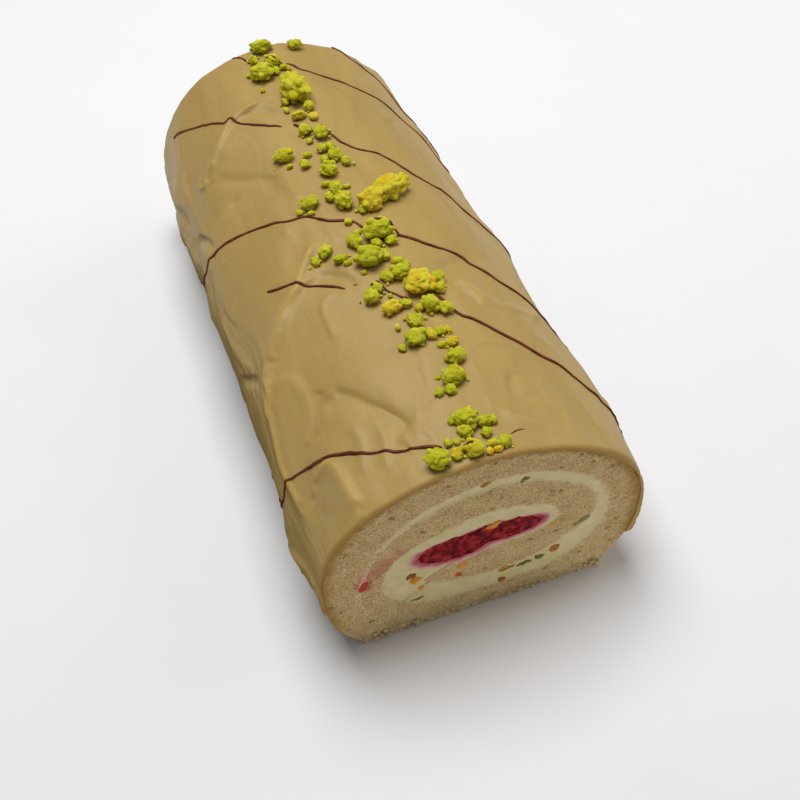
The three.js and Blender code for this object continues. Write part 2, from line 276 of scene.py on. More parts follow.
def uneven(x, z, y):
    """A section point as [x, y, z], after the roll grows taller and rounder-shouldered to the back.

    Sine waves along the roll make it wider midway, sway it, and let the middle of the spiral stray.
    """
    along = np.clip((y + HALF_LENGTH) / (2 * HALF_LENGTH), 0, 1)
    turn = math.pi * along
    wide = 1 + WIDER_MIDWAY * np.sin(turn) - NARROWER_AT_BACK * along
    lean, bow, snake = SWAY
    sideways = lean * along + bow * np.sin(turn) + snake * np.sin(2 * turn)
    tall = 1 + along * (TALLER_AT_BACK - SHOULDERS_AT_BACK * (x / HALF_WIDTH) ** 2)
    inside = np.maximum(0, 1 - np.hypot((x - CORE_X) / HALF_WIDTH, (z - CORE_Z) / (HEIGHT - CORE_Z)))
    drift = CORE_DRIFT * inside * np.sin(1.3 * turn)
    lift = CORE_LIFT * inside * np.sin(1.8 * turn)
    return np.stack([x * wide + sideways + drift, np.broadcast_to(y, x.shape), z * tall + lift], axis=-1)


def outline(steps, grow=0.0):
    """The roll's outline, grown outwards: two half ovals of unlike powers, the lower cut flat at 0.

    It runs from the right end of the base over the top to the left end, as x and z.
    """
    lowest = (WIDEST / (BELLY + grow)) ** 0.5
    low_right, low_left = (math.asin(lowest ** power) for power in (LOWER_POWER_RIGHT, LOWER_POWER_LEFT))
    angle = np.linspace(-low_right, math.pi + low_left, steps + 1)
    left = np.cos(angle) < 0
    upper = np.sin(angle) >= 0
    top_power = np.where(left, UPPER_POWER_LEFT, UPPER_POWER_RIGHT)
    low_power = np.where(left, LOWER_POWER_LEFT, LOWER_POWER_RIGHT)
    power = 2 / np.where(upper, top_power, low_power)
    side = np.sign(np.cos(angle)) * np.abs(np.cos(angle)) ** power
    rise = np.abs(np.sin(angle)) ** power
    z = np.where(upper, WIDEST + (HEIGHT + grow - WIDEST) * rise, WIDEST - (BELLY + grow) * rise)
    return (HALF_WIDTH + grow) * side, np.maximum(z, 0)


def oval_point(degrees, reach):
    """A point of the oval frame as x and z."""
    angle = np.radians(degrees)
    return CORE_X + STRETCH * reach * np.cos(angle), CORE_Z + reach * np.sin(angle)


def turn_and_reach(x, z):
    """Degrees clockwise from the seam's angle, unbroken along the line, and the reach."""
    across, up = (x - CORE_X) / STRETCH, z - CORE_Z
    angle = np.unwrap(np.arctan2(up, across))
    return SEAM_ANGLE - np.degrees(angle), np.hypot(across, up)


def sheet_lines():
    """Both faces of the rolled sheet: the reach of its outside and of its inside at each turn.

    Outside, the sheet follows the outline over the top and back along the base, then the seam and
    the cream's inner face. Inside, it follows the seam and the cream's outer face.
    """
    x, z = outline(1200)
    x, z = x[::-1], z[::-1]
    base = np.linspace(x[-1], SEAM_X + SEAM_WIDTH / 2, 300)[1:]
    foot = SEAM_X - SEAM_WIDTH / 2
    flap = np.linspace(foot, x[0], 20)[:-1]
    x = np.concatenate([flap, x, base])
    z = np.concatenate([0 * flap, z, 0 * base])
    turn, reach = turn_and_reach(x, z)
    turn += 360 * round((FLAP_TURN - turn[0]) / 360)
    wraps = np.linspace(0, 8, 400)
    outside = (np.append(turn, 360 + 45 * wraps), np.append(reach, smooth_at(CREAM_INNER, wraps)))
    wraps = np.linspace(0, 16, 800)
    _, foot_reach = turn_and_reach(np.array([foot]), np.array([0.0]))
    inside = (np.append(turn[0], 45 * wraps), np.append(foot_reach, smooth_at(CREAM_OUTER, wraps)))
    return outside, inside


OUTSIDE, INSIDE = sheet_lines()
SHEET_START = OUTSIDE[0][0] + 0.6
SHEET_END = 720.0


def jam_reach(degrees):
    """Reach of the jam strip's outline at an angle of the oval frame."""
    return smooth_at((*JAM, JAM[0]), np.mod(degrees, 360) / 45)


def jam_distance(x, z):
    """Roughly how far a point of the section lies outside the jam, in mm."""
    across, up = (x - CORE_X) / STRETCH, z - CORE_Z
    return np.hypot(across, up) - jam_reach(np.degrees(np.arctan2(up, across)))


def where_low(side, rise, line, heights):
    """The line's value where its lower part, on the side that its sign says, reaches a height."""
    keep = (np.sign(line) == side) & (heights < WIDEST) & (heights > 0)
    order = np.argsort(heights[keep])
    return np.interp(rise, heights[keep][order], line[keep][order])


def even_turns(start, end, shares, steps, reach_at):
    """Turns from start to end, evenly spaced along the line that reach_at draws, at shares of its steps."""
    turn = np.linspace(start, end, 4000)
    x, z = oval_point(SEAM_ANGLE - turn, reach_at(turn))
    length = np.append(0, np.cumsum(np.hypot(np.diff(x), np.diff(z))))
    turns = np.interp(np.linspace(0, length[-1], steps + 1), length, turn)
    return turns[np.rint(shares * steps).astype(int)]


def roll_grid(first, second, middle_steps):
    """A box grid whose third direction is the roll's: its units, its faces, and the y of its points.

    The steps along the roll are short by both cuts, and long and even between.
    """
    near_cut = np.array([0, 0.5, 1.2, 2.2, 4.0])
    half = np.append(near_cut, np.linspace(10, HALF_LENGTH, middle_steps)[:-1])
    along = np.concatenate([half - HALF_LENGTH, [0.0], HALF_LENGTH - half[::-1]])
    last = len(along) - 1
    units, faces = box_grid((first, second, last))
    return units, faces, along[np.rint(units[:, 2] * last).astype(int)]


# ------------------------------------------------------------------ materials


NOISE = "ShaderNodeTexNoise"
CELLS = "ShaderNodeTexVoronoi"


def add(tree, kind, output=0, sockets=None, **settings):
    """Adds a node and gives one of its outputs.

    A setting is a property of the node, or a socket by its name with _ for a space. sockets are
    more of them, by number. A value that is another node's output is linked.
    """
    node = tree.nodes.new(kind)
    for key, value in {**settings, **(sockets or {})}.items():
        name = key.replace("_", " ") if isinstance(key, str) else key
        if isinstance(value, bpy.types.NodeSocket):
            tree.links.new(value, node.inputs[name])
        elif isinstance(key, str) and hasattr(node, key):
            setattr(node, key, value)
        else:
            node.inputs[name].default_value = value
    return node.outputs[output]


def new_material(name, **settings):
    """A material of one Principled shader: itself, its tree, shader and Object coordinates."""
    material = bpy.data.materials.new(name)
    material.use_nodes = True
    tree = material.node_tree
    shader = tree.nodes["Principled BSDF"]
    for key, value in settings.items():
        shader.inputs[key.replace("_", " ")].default_value = value
    return material, tree, shader, add(tree, "ShaderNodeTexCoord", "Object")


def pattern(tree, kind, place, spacing_mm, **settings):
    """A pattern of blotches or cells that are about that many millimetres apart."""
    return add(tree, kind, Vector=place, Scale=1 / (spacing_mm * MM), **settings)


def socket_colour(colour):
    """A colour as a socket takes it, from a hex value, a linear colour or a node's output."""
    if isinstance(colour, str):
        colour = linear(colour)
    return colour if isinstance(colour, bpy.types.NodeSocket) else (*colour, 1)


def layered(tree, ground, *layers):
    """A colour with others laid over it in turn, each as (where, start, full, share, colour).

    where is a pattern, or the name of a number kept by point on the piece. The share rises evenly
    from 0 where that is at start to the given share where it is at full.
    """
    below = socket_colour(ground)
    for where, start, full, share, colour in layers:
        if isinstance(where, str):
            where = add(tree, "ShaderNodeAttribute", "Fac", attribute_name=where)
        amount = add(tree, "ShaderNodeMapRange", Value=where, From_Min=start, From_Max=full, To_Max=share)
        below = add(tree, "ShaderNodeMix", 2, {0: amount, 6: below, 7: socket_colour(colour)},
                    data_type="RGBA")
    return below


def surfaced(tree, shader, colour, *heights):
    """Colours the shader, and bumps it by (height output, depth in mm) pairs, one on the other."""
    tree.links.new(colour, shader.inputs["Base Color"])
    below = {}
    for height, depth_mm in heights:
        normal = add(tree, "ShaderNodeBump", Height=height, Distance=depth_mm * MM, Strength=1.0, **below)
        below = {"Normal": normal}
    for normal in below.values():
        tree.links.new(normal, shader.inputs["Normal"])


def sponge_cake(looks):
    """Whisked sponge, baked and cut with a knife: matt, fine-pored, smeared with cream beside it, with
    painted shade darkening its pores and pits.
    """
    material, tree, shader, place = new_material("whisked_sponge", Roughness=0.9, Specular_IOR_Level=0.2)
    pore = pattern(tree, CELLS, place, 1.5)
    fine = pattern(tree, NOISE, place, 0.8, Detail=3, Roughness=0.65)
    colour = layered(
        tree, "#cdaa70",
        (pattern(tree, NOISE, place, 6, Detail=3), 0.35, 0.65, 1, looks.sponge),
        # painted shade: darker in the middles of the pores, which the bump sinks
        (pore, 0.3, 0.1, 0.3, "#94713c"),
        (fine, 0.52, 0.66, 0.65, "#9a7446"),
        (fine, 0.48, 0.34, 0.75, "#f2d8b6"),
        # painted shade: darker in the pits of the cut
        ("pit", 0.2, 1, 0.55, "#8c6c44"),
        ("smear", 0, 1, 0.9, looks.cream),
        ("soaked", 0, 1, 0.85, "#a47c36"),
        ("stain", 0, 1, 1, "#c03a40"))
    pore_walls = add(tree, "ShaderNodeMapRange", Value=pore, From_Max=0.35)
    surfaced(tree, shader, colour, (pore_walls, 0.3), (fine, 0.5))
    return material


def whipped_cream(looks):
    """Set buttercream cut with a knife: smooth, faintly waxy, pink where the jam has bled into it."""
    material, tree, shader, place = new_material("set_cream", Roughness=0.55, Specular_IOR_Level=0.35)
    fine = pattern(tree, NOISE, place, 0.9, Detail=3)
    dragged = layered(tree, "#ead0a4", (fine, 0.36, 0.5, 1, "#d2b076"), (fine, 0.5, 0.66, 1, "#a88450"))
    colour = layered(
        tree, "#d8c688",
        (pattern(tree, NOISE, place, 5, Detail=3), 0.3, 0.7, 1, looks.cream),
        ("crumb", 0, 1, 1, dragged),
        ("stain", 0, 0.5, 1, "#dfa09a"),
        ("stain", 0.4, 1, 1, "#b4323c"))
    surfaced(tree, shader, colour, (pattern(tree, NOISE, place, 2.2, Detail=3), 0.25), (fine, 0.15))
    return material


def berry_jam(looks):
    """Red berry jam with whole drupelets: moist, crimson, with painted shade in the hollows between them
    and lighter patches that are partly painted highlight.
    """
    material, tree, shader, place = new_material("berry_jam", Roughness=0.4, Specular_IOR_Level=0.05)
    berry = pattern(tree, NOISE, place, 3.4, Detail=3)
    colour = layered(
        tree, "#52040a",
        (berry, 0.32, 0.5, 1, looks.jam),
        # lighter red patches: partly the jam's own tone, partly painted highlight
        (berry, 0.5, 0.68, 1, "#c63e40"),
        # painted shade in the hollows between the drupelets
        (pattern(tree, CELLS, place, 3), 0.45, 0.7, 0.6, "#3c040a"))
    surfaced(tree, shader, colour, (pattern(tree, NOISE, place, 1), 0.25))
    return material


def caramel_glaze(looks):
    """Caramel chocolate glaze, spread and set: satin, even, with fine streaks along the spatula."""
    material, tree, shader, place = new_material("caramel_glaze", Specular_IOR_Level=0.33)
    drawn, brushed = (add(tree, "ShaderNodeMapping", Vector=place, Scale=(1, squeeze, 1))
                      for squeeze in (0.3, 0.1))
    blotch = pattern(tree, NOISE, drawn, 16, Detail=4, Roughness=0.6)
    fine = pattern(tree, NOISE, place, 3, Detail=3)
    colour = layered(
        tree, looks.glaze_deep,
        (blotch, 0.3, 0.7, 1, looks.glaze),
        (fine, 0.55, 0.8, 0.25, "#c0a25f"),
        ("crest", 0, 1, 0.5, "#c4a04a"),
        ("rim", 0, 1, 0.8, "#ae8022"))
    satin = add(tree, "ShaderNodeMapRange", Value=blotch, From_Min=0.3, From_Max=0.7, To_Min=0.4,
                To_Max=0.54)
    tree.links.new(satin, shader.inputs["Roughness"])
    flank = add(tree, "ShaderNodeAttribute", "Fac", attribute_name="flank")
    combed = add(tree, "ShaderNodeMath", 0, {0: pattern(tree, NOISE, brushed, 1.5), 1: flank},
                 operation="MULTIPLY")
    surfaced(tree, shader, colour, (pattern(tree, NOISE, drawn, 9, Detail=3), 0.45),
             (pattern(tree, NOISE, brushed, 2.4), 0.12), (combed, 0.35), (fine, 0.05))
    return material


def dark_chocolate(looks):
    """Melted dark chocolate run from a spoon and set: red-brown, softly glossy."""
    material, tree, shader, place = new_material("dark_chocolate", Roughness=0.5, Specular_IOR_Level=0.2)
    colour = layered(tree, "#4e2012", (pattern(tree, NOISE, place, 4), 0.3, 0.7, 1, looks.threads))
    surfaced(tree, shader, colour, (pattern(tree, NOISE, place, 1.5), 0.12))
    return material


def green_crumb(looks):
    """Crumbs of moist green cake, torn by hand: matt, a little light passes through, some yellow."""
    material, tree, shader, place = new_material(
        "green_cake_crumb", Roughness=0.75, Specular_IOR_Level=0.2, Subsurface_Weight=0.5,
        Subsurface_Scale=1.6 * MM, Subsurface_Radius=(0.9, 1.0, 0.25))
    green_patches = pattern(tree, NOISE, place, 3, Detail=4)
    hue = pattern(tree, NOISE, place, 4)
    yellow = layered(
        tree, "#e39c10",
        (hue, 0.3, 0.45, 1, looks.crumb_yellow),
        (hue, 0.45, 0.7, 1, "#d6cf3a"))
    # random darker and lighter patches of green
    colour = layered(
        tree, "#abac0a",
        (green_patches, 0.32, 0.52, 1, looks.crumb_green),
        (green_patches, 0.52, 0.7, 1, "#cfca44"),
        ("warm", 0, 1, 1, yellow),
        (pattern(tree, NOISE, place, 2.5, Detail=1), 0.66, 0.74, 0.5, "#e0a424"),
        # painted shade: darker in the creases between the knobs
        ("crease_shade", 0.3, 1, 0.3, "#84900c"))
    knobs = add(tree, "ShaderNodeMapRange", Value=pattern(tree, CELLS, place, 1.1), From_Max=0.8,
                To_Min=1, To_Max=0)
    surfaced(tree, shader, colour, (knobs, 0.24), (pattern(tree, NOISE, place, 0.7, Detail=3), 0.22))
    return material


# Red fruit, orange fruit, brown nut, green nut and olive nut.
FRUIT_COLOURS = ("#c43a2c", "#ee9a2c", "#96581e", "#70762e", "#9a8a48")


def candied_fruit():
    """Small pieces of candied fruit and nut, cut with the cake: moist, each of its own colour."""
    material, tree, shader, place = new_material("fruit_and_nut", Roughness=0.5, Specular_IOR_Level=0.15)
    last = len(FRUIT_COLOURS) - 1
    kinds = [("kind", (k - 1) / last, k / last, 1, FRUIT_COLOURS[k]) for k in range(1, last + 1)]
    bruised = (pattern(tree, NOISE, place, 1.4), 0.5, 0.75, 0.5, "#5a3c16")
    colour = layered(tree, FRUIT_COLOURS[0], *kinds, bruised)
    surfaced(tree, shader, colour, (pattern(tree, NOISE, place, 0.9), 0.3))
    return material


# ------------------------------------------------------------------ sponge

SECOND_TURN = 352.0   # past this turn the sheet's outside lies against cream instead of glaze
FAR = 9.0             # stands for a distance past which nothing changes
CUT_LEVEL = 0.28      # how far the cut sponge lies inside the solid's cut
GRAIN_DEPTH = 0.16
TORN_DEPTH = 0.9
PIT_COUNT = 420
PIT_RADII = (0.3, 1.3)
CRUST_TOP = 29.2      # the bare sponge's skin ends this high, under the glaze
CRUST_DEPTH = 1.2     # and reaches this far into the roll
CRUMB_LINE = 46.0     # how far from the middle the crumbs along each side of the roll lie


def scattered_pits(x, z, seed):
    """Depth from 0 to 1 in round pits strewn over a cut face, each a bowl: 1 less its distance squared."""
    small, large = PIT_RADII
    rng = np.random.default_rng(seed)
    deepest = np.zeros(len(x))
    centres = np.column_stack([rng.uniform(-HALF_WIDTH, HALF_WIDTH, PIT_COUNT),
                               rng.uniform(1, HEIGHT, PIT_COUNT)])
    radii = small + (large - small) * rng.random(PIT_COUNT) ** 3
    squash = rng.uniform(0.6, 1.0, PIT_COUNT)
    for (cx, cz), radius, flat in zip(centres, radii, squash):
        away = np.hypot(x - cx, (z - cz) / flat) / radius
        deepest = np.maximum(deepest, np.clip(1 - away * away, 0, 1) * min(1, radius / 0.9))
    return deepest


def sponge_section(turn, through):
    """A point of the sheet's section: on the ray at that turn, between its outside and its inside."""
    outside = np.interp(turn, *OUTSIDE)
    inside = np.interp(turn, *INSIDE)
    x, z = oval_point(SEAM_ANGLE - turn, outside + (inside - outside) * through)
    bulge = SHEET_TIP * np.sin(math.pi * through) * smooth_step(SHEET_END - 25, SHEET_END, turn)
    return x - bulge, z - 0.3 * bulge


def cream_shows(turn):
    """How much of the cream's own colour shows at a turn: little by the seam, all of it elsewhere."""
    return 0.12 + 0.88 * smooth_step(55, 120, turn) * smooth_step(360, 350, turn)


def cream_share(depth, points):
    """How creamy a spot of the cut is, from its depth inside the cream: an uneven border, 0 to 1."""
    return smooth_step(-1.2, 1.2, depth + 0.9 * layered_noise(points, 2.4, 44))


def berry_blots(points):
    """How far juice has soaked in left of the jam, from 0 to 1: a long pale blot and a small deep one.

    Each is an oval with an uneven border. The long one rises to the right, 3 up for 4 across.
    """
    x, z = points[:, 0] + 39, points[:, 2] - 44
    ahead, aside = 0.8 * x + 0.6 * z, 0.8 * z - 0.6 * x
    blot = np.hypot(ahead / 10, aside / 4.2) + 0.55 * noise(points, 3, 41)
    red = np.hypot((points[:, 0] + 47) / 3.2, (points[:, 2] - 37) / 6) + 0.4 * noise(points, 2, 42)
    return np.maximum(0.45 * smooth_step(1.25, 0.3, blot), 0.55 * smooth_step(1.3, 0.5, red))


def build_sponge(looks):
    """The rolled sheet: a slab from the flap at the seam to its inner end, carried round the jam.

    The grid runs along the spiral, through the sheet and along the roll. At a cut each point is let
    in by a level, its pit and its grain, and near the floor noise tears the edge down or up.
    """
    spiral, layers = 1080, 25
    units, faces, y = roll_grid(spiral, layers, 4)
    turn = even_turns(SHEET_START, SHEET_END, units[:, 0], spiral,
                      lambda turn: (np.interp(turn, *OUTSIDE) + np.interp(turn, *INSIDE)) / 2)
    through = pinched(units[:, 1], layers, 0.012)
    x, z = sponge_section(turn, through)
    points = np.column_stack([x, y, z])
    from_cut = HALF_LENGTH - np.abs(y)
    at_cut = from_cut < ON_CUT
    back = y > 0

    pit = np.where(back, scattered_pits(x, z, 5), scattered_pits(x, z, 4))
    grain = layered_noise(points, 1.6, 11)
    wobble = layered_noise(points * (1, 0.1, 1), 5, 21)
    edge = np.clip(1 - np.minimum(through, 1 - through) / 0.15, 0, 1)
    hollow = looks.pit_depth / MM * pit + GRAIN_DEPTH * grain
    inward = np.where(at_cut, CUT_LEVEL + hollow * (1 - edge), 0)
    x = x + 0.35 * wobble * edge
    torn = 0.55 + layered_noise(points * (1, 0.6, 1), 3.4, 31)
    near_floor = smooth_step(4, 0, z) * smooth_step(4.5, 0, from_cut)
    z = z + TORN_DEPTH * np.maximum(0, -torn) * near_floor
    y = y - np.sign(y) * (inward - torn * TORN_DEPTH * near_floor * at_cut)
    made = uneven(x, z, y)
    made[:, 2] = np.maximum(made[:, 2], 0)

    thick = np.abs(np.interp(turn, *INSIDE) - np.interp(turn, *OUTSIDE))
    from_cream = np.minimum(1 - through, np.where(turn > SECOND_TURN, through, FAR)) * thick
    smear = cream_share(-from_cream, points) * cream_shows(turn % 360)
    # painted light: the crumbly foot of each cut, which stands out into the light, is flecked with the
    # paler cream colour
    pale_foot_flecks = smooth_step(-0.3, 0.5, layered_noise(points, 1.8, 49)) * smooth_step(15, 4, z)
    smear = np.maximum(smear, 0.5 * pale_foot_flecks)
    bled = jam_distance(x, z) + 1.2 * noise(points, 3, 45)
    under_jam = 0.3 * smooth_step(6.5, 1.5, bled) * smooth_step(CORE_Z + 2, CORE_Z - 3, z)
    stain = np.maximum(berry_blots(points), under_jam)
    from_glaze = np.where(turn < SECOND_TURN, through, FAR) * thick + 0.7 * layered_noise(points, 2.4, 46)
    soaked = smooth_step(2.0 + 2.2 * np.abs(x) / HALF_WIDTH, 0.0, from_glaze) * smooth_step(8, 20, z)
    # pit also goes to the material, which paints shade in the pits
    values = {"pit": at_cut * pit, "stain": np.where(back, 0, stain), "smear": at_cut * smear,
              "soaked": at_cut * soaked}
    return piece("sponge_sheet", made, faces[:, ::-1], sponge_cake(looks), ["sponge"],
                 values, cut_rim(units))


def build_crust():
    """The bare strips of sponge under the glaze: a crumbly skin along each lower side of the roll.

    Each is a thin slab on the outline, over height and length. Cells and noise push its outer face
    out, and its ends are drawn in.
    """
    parts = []
    outline_x, outline_z = outline(2400)
    for side in (-1, 1):
        units, faces = box_grid((34, 300, 1))
        rise = 0.2 + units[:, 0] * (CRUST_TOP - 0.2)
        x = where_low(side, rise, outline_x, outline_z)
        y = (units[:, 1] * 2 - 1) * (HALF_LENGTH - 0.6)
        points = np.column_stack([x, y, rise])
        lumps = 0.5 - cells(points, 2.6, 51 + side) + 0.35 * layered_noise(points, 2.0, 53)
        out = np.where(units[:, 2] > 0.5, 0.35 + 0.9 * np.clip(lumps, -0.4, 0.6), -CRUST_DEPTH)
        inner = np.minimum(np.minimum(units[:, 1], 1 - units[:, 1]) * 60, 1)
        out = out * inner - CRUST_DEPTH * (1 - inner)
        plain = 0 * x
        # pit is painted shade here: the hollows between the lumps are darkened
        parts.append((uneven(x + side * out, rise, y), faces[:, ::side],
                      {"pit": np.clip(-lumps, 0, 1), "stain": plain, "smear": plain, "soaked": plain}))
    points, faces, values = joined(parts)
    return piece("sponge_underside", points, faces, bpy.data.materials["whisked_sponge"],
                 values=values)


def build_loose_crumbs(count):
    """Sponge crumbs at the foot of both cuts and along both sides: small knobbly grains."""
    rng = np.random.default_rng(61)
    parts = []
    for k in range(count):
        size = 0.7 + 1.7 * rng.random() ** 2
        if k % 3:
            x = rng.uniform(-CRUMB_LINE - 5, CRUMB_LINE + 3)
            y = rng.choice([-1, 1]) * (HALF_LENGTH + size * rng.uniform(-0.4, 0.3))
            rise = size * 0.4 + 2.6 * rng.random() ** 3
        else:
            x = rng.choice([-1, 1]) * (CRUMB_LINE + rng.uniform(-1, 2.5))
            y = rng.uniform(-1, 1) * (HALF_LENGTH - 1)
            rise = size * 0.4 + 2.5 * rng.random() ** 2
        parts.append(knobbly_ball(3, (x, y, rise), (size, size, size * 0.85), 0, 600 + k, 5))
    points, faces, values = joined(parts)
    points[:, 2] = np.maximum(points[:, 2], 0.02)
    plain = 0 * values["crease_shade"]
    # painted light: the loose crumbs get most of the cream colour, paler where they stand out into the
    # light
    return piece("sponge_crumbs", points, faces, bpy.data.materials["whisked_sponge"],
                 values={"pit": plain, "stain": plain, "smear": plain + 0.8, "soaked": plain})


# ------------------------------------------------------------------ cream, jam and fruit

CREAM_START = -8.0     # degrees before the seam's angle
CREAM_OVERLAP = 0.6    # how far the cream reaches into the sponge, which closes the solids' gap
JAM_OVERLAP = 0.25
CREAM_LEVEL = 0.32     # how far the cut cream lies inside the solid's cut
FRUIT_DEPTH = 0.9      # of the middle of each piece of fruit, inside the cut
FRUIT_LEVEL = 0.72     # how far out of its middle a piece is sliced


def build_cream(looks):
    """The cream: a slab that fills the slot of the sheet for one turn, then rings the jam for one.

    The grid runs along the spiral, from the cream's inner face to its outer one, and along the roll.
    """
    spiral, layers = 820, 14
    units, faces, y = roll_grid(spiral, layers, 3)
    turn = even_turns(CREAM_START, SHEET_END, units[:, 0], spiral,
                      lambda turn: np.interp(turn, *INSIDE) - 2)
    degrees = SEAM_ANGLE - turn
    in_slot = turn < 360
    outer = np.interp(turn, *INSIDE) + CREAM_OVERLAP
    slot_inner = np.interp(turn + 360, *OUTSIDE) - CREAM_OVERLAP
    reach_inner = np.where(in_slot, slot_inner, jam_reach(degrees) - JAM_OVERLAP)
    through = pinched(units[:, 1], layers, 0.02)
    x, z = oval_point(degrees, reach_inner + (outer - reach_inner) * through)
    points = np.column_stack([x, y, z])
    at_cut = HALF_LENGTH - np.abs(y) < ON_CUT
    away = jam_distance(x, z) + 0.8 * noise(points, 3, 72) + 0.5 * noise(points, 1.3, 73)
    beneath = smooth_step(0.45, -0.3, np.sin(np.radians(degrees)))
    sides = smooth_step(0.9, 1.0, np.abs(np.cos(np.radians(degrees))))
    stain = smooth_step(1.0 + 3.8 * np.maximum(beneath, 0.8 * sides), 0.0, away)
    stain = np.where(turn > SECOND_TURN, stain, 0.7 * berry_blots(points) * (y < 0))
    from_sponge = (np.minimum(1 - through, np.where(in_slot, through, FAR)) * np.abs(outer - reach_inner)
                   - CREAM_OVERLAP)
    drag = 0.05 * layered_noise(points * (1, 1, 2.5), 4, 71) + 0.12 * smooth_step(0, 1.5, from_sponge)
    made = uneven(x, z, y - np.sign(y) * at_cut * (CREAM_LEVEL + drag))
    hidden = 1 - cream_shows(turn % 360) * np.where(in_slot, 1, FAR)
    crumb_share = np.clip(np.maximum(1 - cream_share(from_sponge, points), hidden), 0, 1)
    return piece("cream_filling", made, faces, whipped_cream(looks), ["cream"],
                 {"stain": stain, "crumb": crumb_share}, cut_rim(units))


def build_jam(looks):
    """The jam: a lumpy bar along the roll. The box's two cross directions are bent into a round."""
    units, faces, y = roll_grid(72, 72, 3)
    a, b = units[:, 0] * 2 - 1, units[:, 1] * 2 - 1
    across, up = a * np.sqrt(1 - b * b / 2), b * np.sqrt(1 - a * a / 2)
    degrees = np.degrees(np.arctan2(up, across))
    share = np.hypot(across, up)
    x, z = oval_point(degrees, share * jam_reach(degrees))
    points = np.column_stack([x, y, z])
    ragged = 1.1 * layered_noise(points, 3.0, 81) * share ** 6
    x, z = oval_point(degrees, share * jam_reach(degrees) + ragged)
    at_cut = HALF_LENGTH - np.abs(y) < ON_CUT
    drops = 0.55 - cells(points, 2.8, 82)
    rough = 0.5 - 1.2 * drops - 0.35 * layered_noise(points, 2, 83)
    made = uneven(x, z, y - np.sign(y) * at_cut * np.clip(rough, 0.0, 1.6))
    return piece("jam_strip", made, faces, berry_jam(looks), ["jam"], rim=cut_rim(units))


# Fruit and nut pieces on the front cut: x, z, width, height, turn in degrees, and kind as a share of
# the way through FRUIT_COLOURS.
FRONT_BITS = (
    (-47.2, 35.4, 2.8, 5.6, -25, 0.0), (-28, 29.1, 4.4, 4.4, 35, 0.3), (-29.2, 32, 3.4, 3.0, 20, 0.55),
    (-26, 23, 2.2, 1.6, 0, 0.25), (-9.5, 28.5, 3.6, 3.8, 20, 0.25), (-11.2, 23.7, 3.2, 3.6, 10, 0.05),
    (3.2, 47.2, 6.0, 3.4, 15, 0.3), (0.3, 72.3, 4.6, 2.2, 8, 0.42), (15.3, 68, 3.4, 1.2, 12, 0.8),
    (39, 32, 8.0, 2.8, 22, 0.95), (27, 36, 2.6, 1.6, 0, 0.25), (7.3, 17.6, 4.6, 2.2, 5, 0.3),
    (15.5, 16.4, 5.4, 1.8, 10, 0.75), (21.8, 17.4, 4.2, 3.2, 0, 0.8), (28.4, 19.6, 3.8, 3.6, 25, 0.42),
    (6.6, 10.7, 2.6, 3.0, 0, 0.45), (9, 16.6, 6.0, 1.1, 8, 0.85), (-27.9, 16.5, 5.0, 1.0, 12, 0.85),
    (-34, 70, 2.6, 1.8, 10, 0.9), (4, 82, 2.0, 1.1, 0, 0.8), (-46, 12, 2.4, 1.2, 30, 0.75),
)
# The same on the back cut.
BACK_BITS = (
    (38, 38, 4.4, 6.0, 20, 0.0), (-30, 34, 3.6, 4.6, -20, 0.3), (-18, 17, 4.4, 2.4, 5, 0.4),
    (14, 14, 3.8, 3.0, -10, 0.74), (30, 58, 4.4, 2.2, -35, 0.42), (-8, 71, 3.6, 1.8, 0, 0.8),
    (-2, 49, 4.6, 2.8, 10, 0.3), (31, 24, 3.4, 3.0, 25, 0.25), (-36, 24, 3.0, 2.4, 0, 0.55),
)


def build_fruit():
    """Pieces of fruit and nut set in both cuts: knobbly balls, turned in it and sliced nearly flush."""
    parts = []
    for end, bits in ((-1, FRONT_BITS), (1, BACK_BITS)):
        y = end * (HALF_LENGTH - FRUIT_DEPTH)
        for k, (x, z, wide, high, turn, kind) in enumerate(bits):
            size = (1.25 * wide, 2.6, 1.2 * high)
            ball, faces, _ = knobbly_ball(9, (0, 0, 0), size, 0, 700 + 50 * end + k, 6)
            c, s = math.cos(math.radians(turn)), math.sin(math.radians(turn))
            spun_x, spun_z = ball[:, 0] * c - ball[:, 2] * s, ball[:, 0] * s + ball[:, 2] * c
            spots = np.column_stack([x + spun_x, np.full(len(ball), y), z + spun_z])
            spun_x = spun_x + 0.5 * noise(spots, 1.4, 47)
            spun_z = spun_z + 0.5 * noise(spots, 1.4, 48)
            out = np.minimum(end * ball[:, 1], FRUIT_LEVEL) * end
            made = uneven(x + spun_x, z + spun_z, y + out)
            parts.append((made, faces, {"kind": np.full(len(ball), kind)}))
    points, faces, values = joined(parts)
    return piece("fruit_and_nut_pieces", points, faces, candied_fruit(), values=values)


# ------------------------------------------------------------------ glaze

# Broad folds, as on the solid: from and to as (across, along), height and width in mm.
FOLDS = (
    ((-22, -10), (-62, -54), 1.0, 4.5), ((-62, -54), (-70, -121), 1.3, 5),
    ((-31, -88), (-20, -110), -0.7, 5), ((-49, -105), (-47, -130), 1.0, 5),
    ((-61, -114), (-65, -124), -1.2, 6), ((-41, 78), (-30, 96), 0.8, 5),
    ((-48, 49), (-28, 35), -0.7, 6), ((-30, 30), (-28, 8), 0.7, 6), ((21, -42), (45, -30), -0.6, 5),
    ((35, -118), (31, -91), 0.6, 6), ((61, 18), (74, -6), 0.9, 6), ((62, -66), (78, -85), 0.5, 6),
    ((-77, 95), (-86, 52), 1.6, 7), ((-76, 39), (-86, 16), 1.2, 6), ((-92, -106), (-106, -122), 2.4, 8),
    ((-96, 104), (-106, 88), 1.6, 9), ((66, -134), (80, -104), 1.3, 9), ((70, 48), (82, 24), 1.3, 8),
)

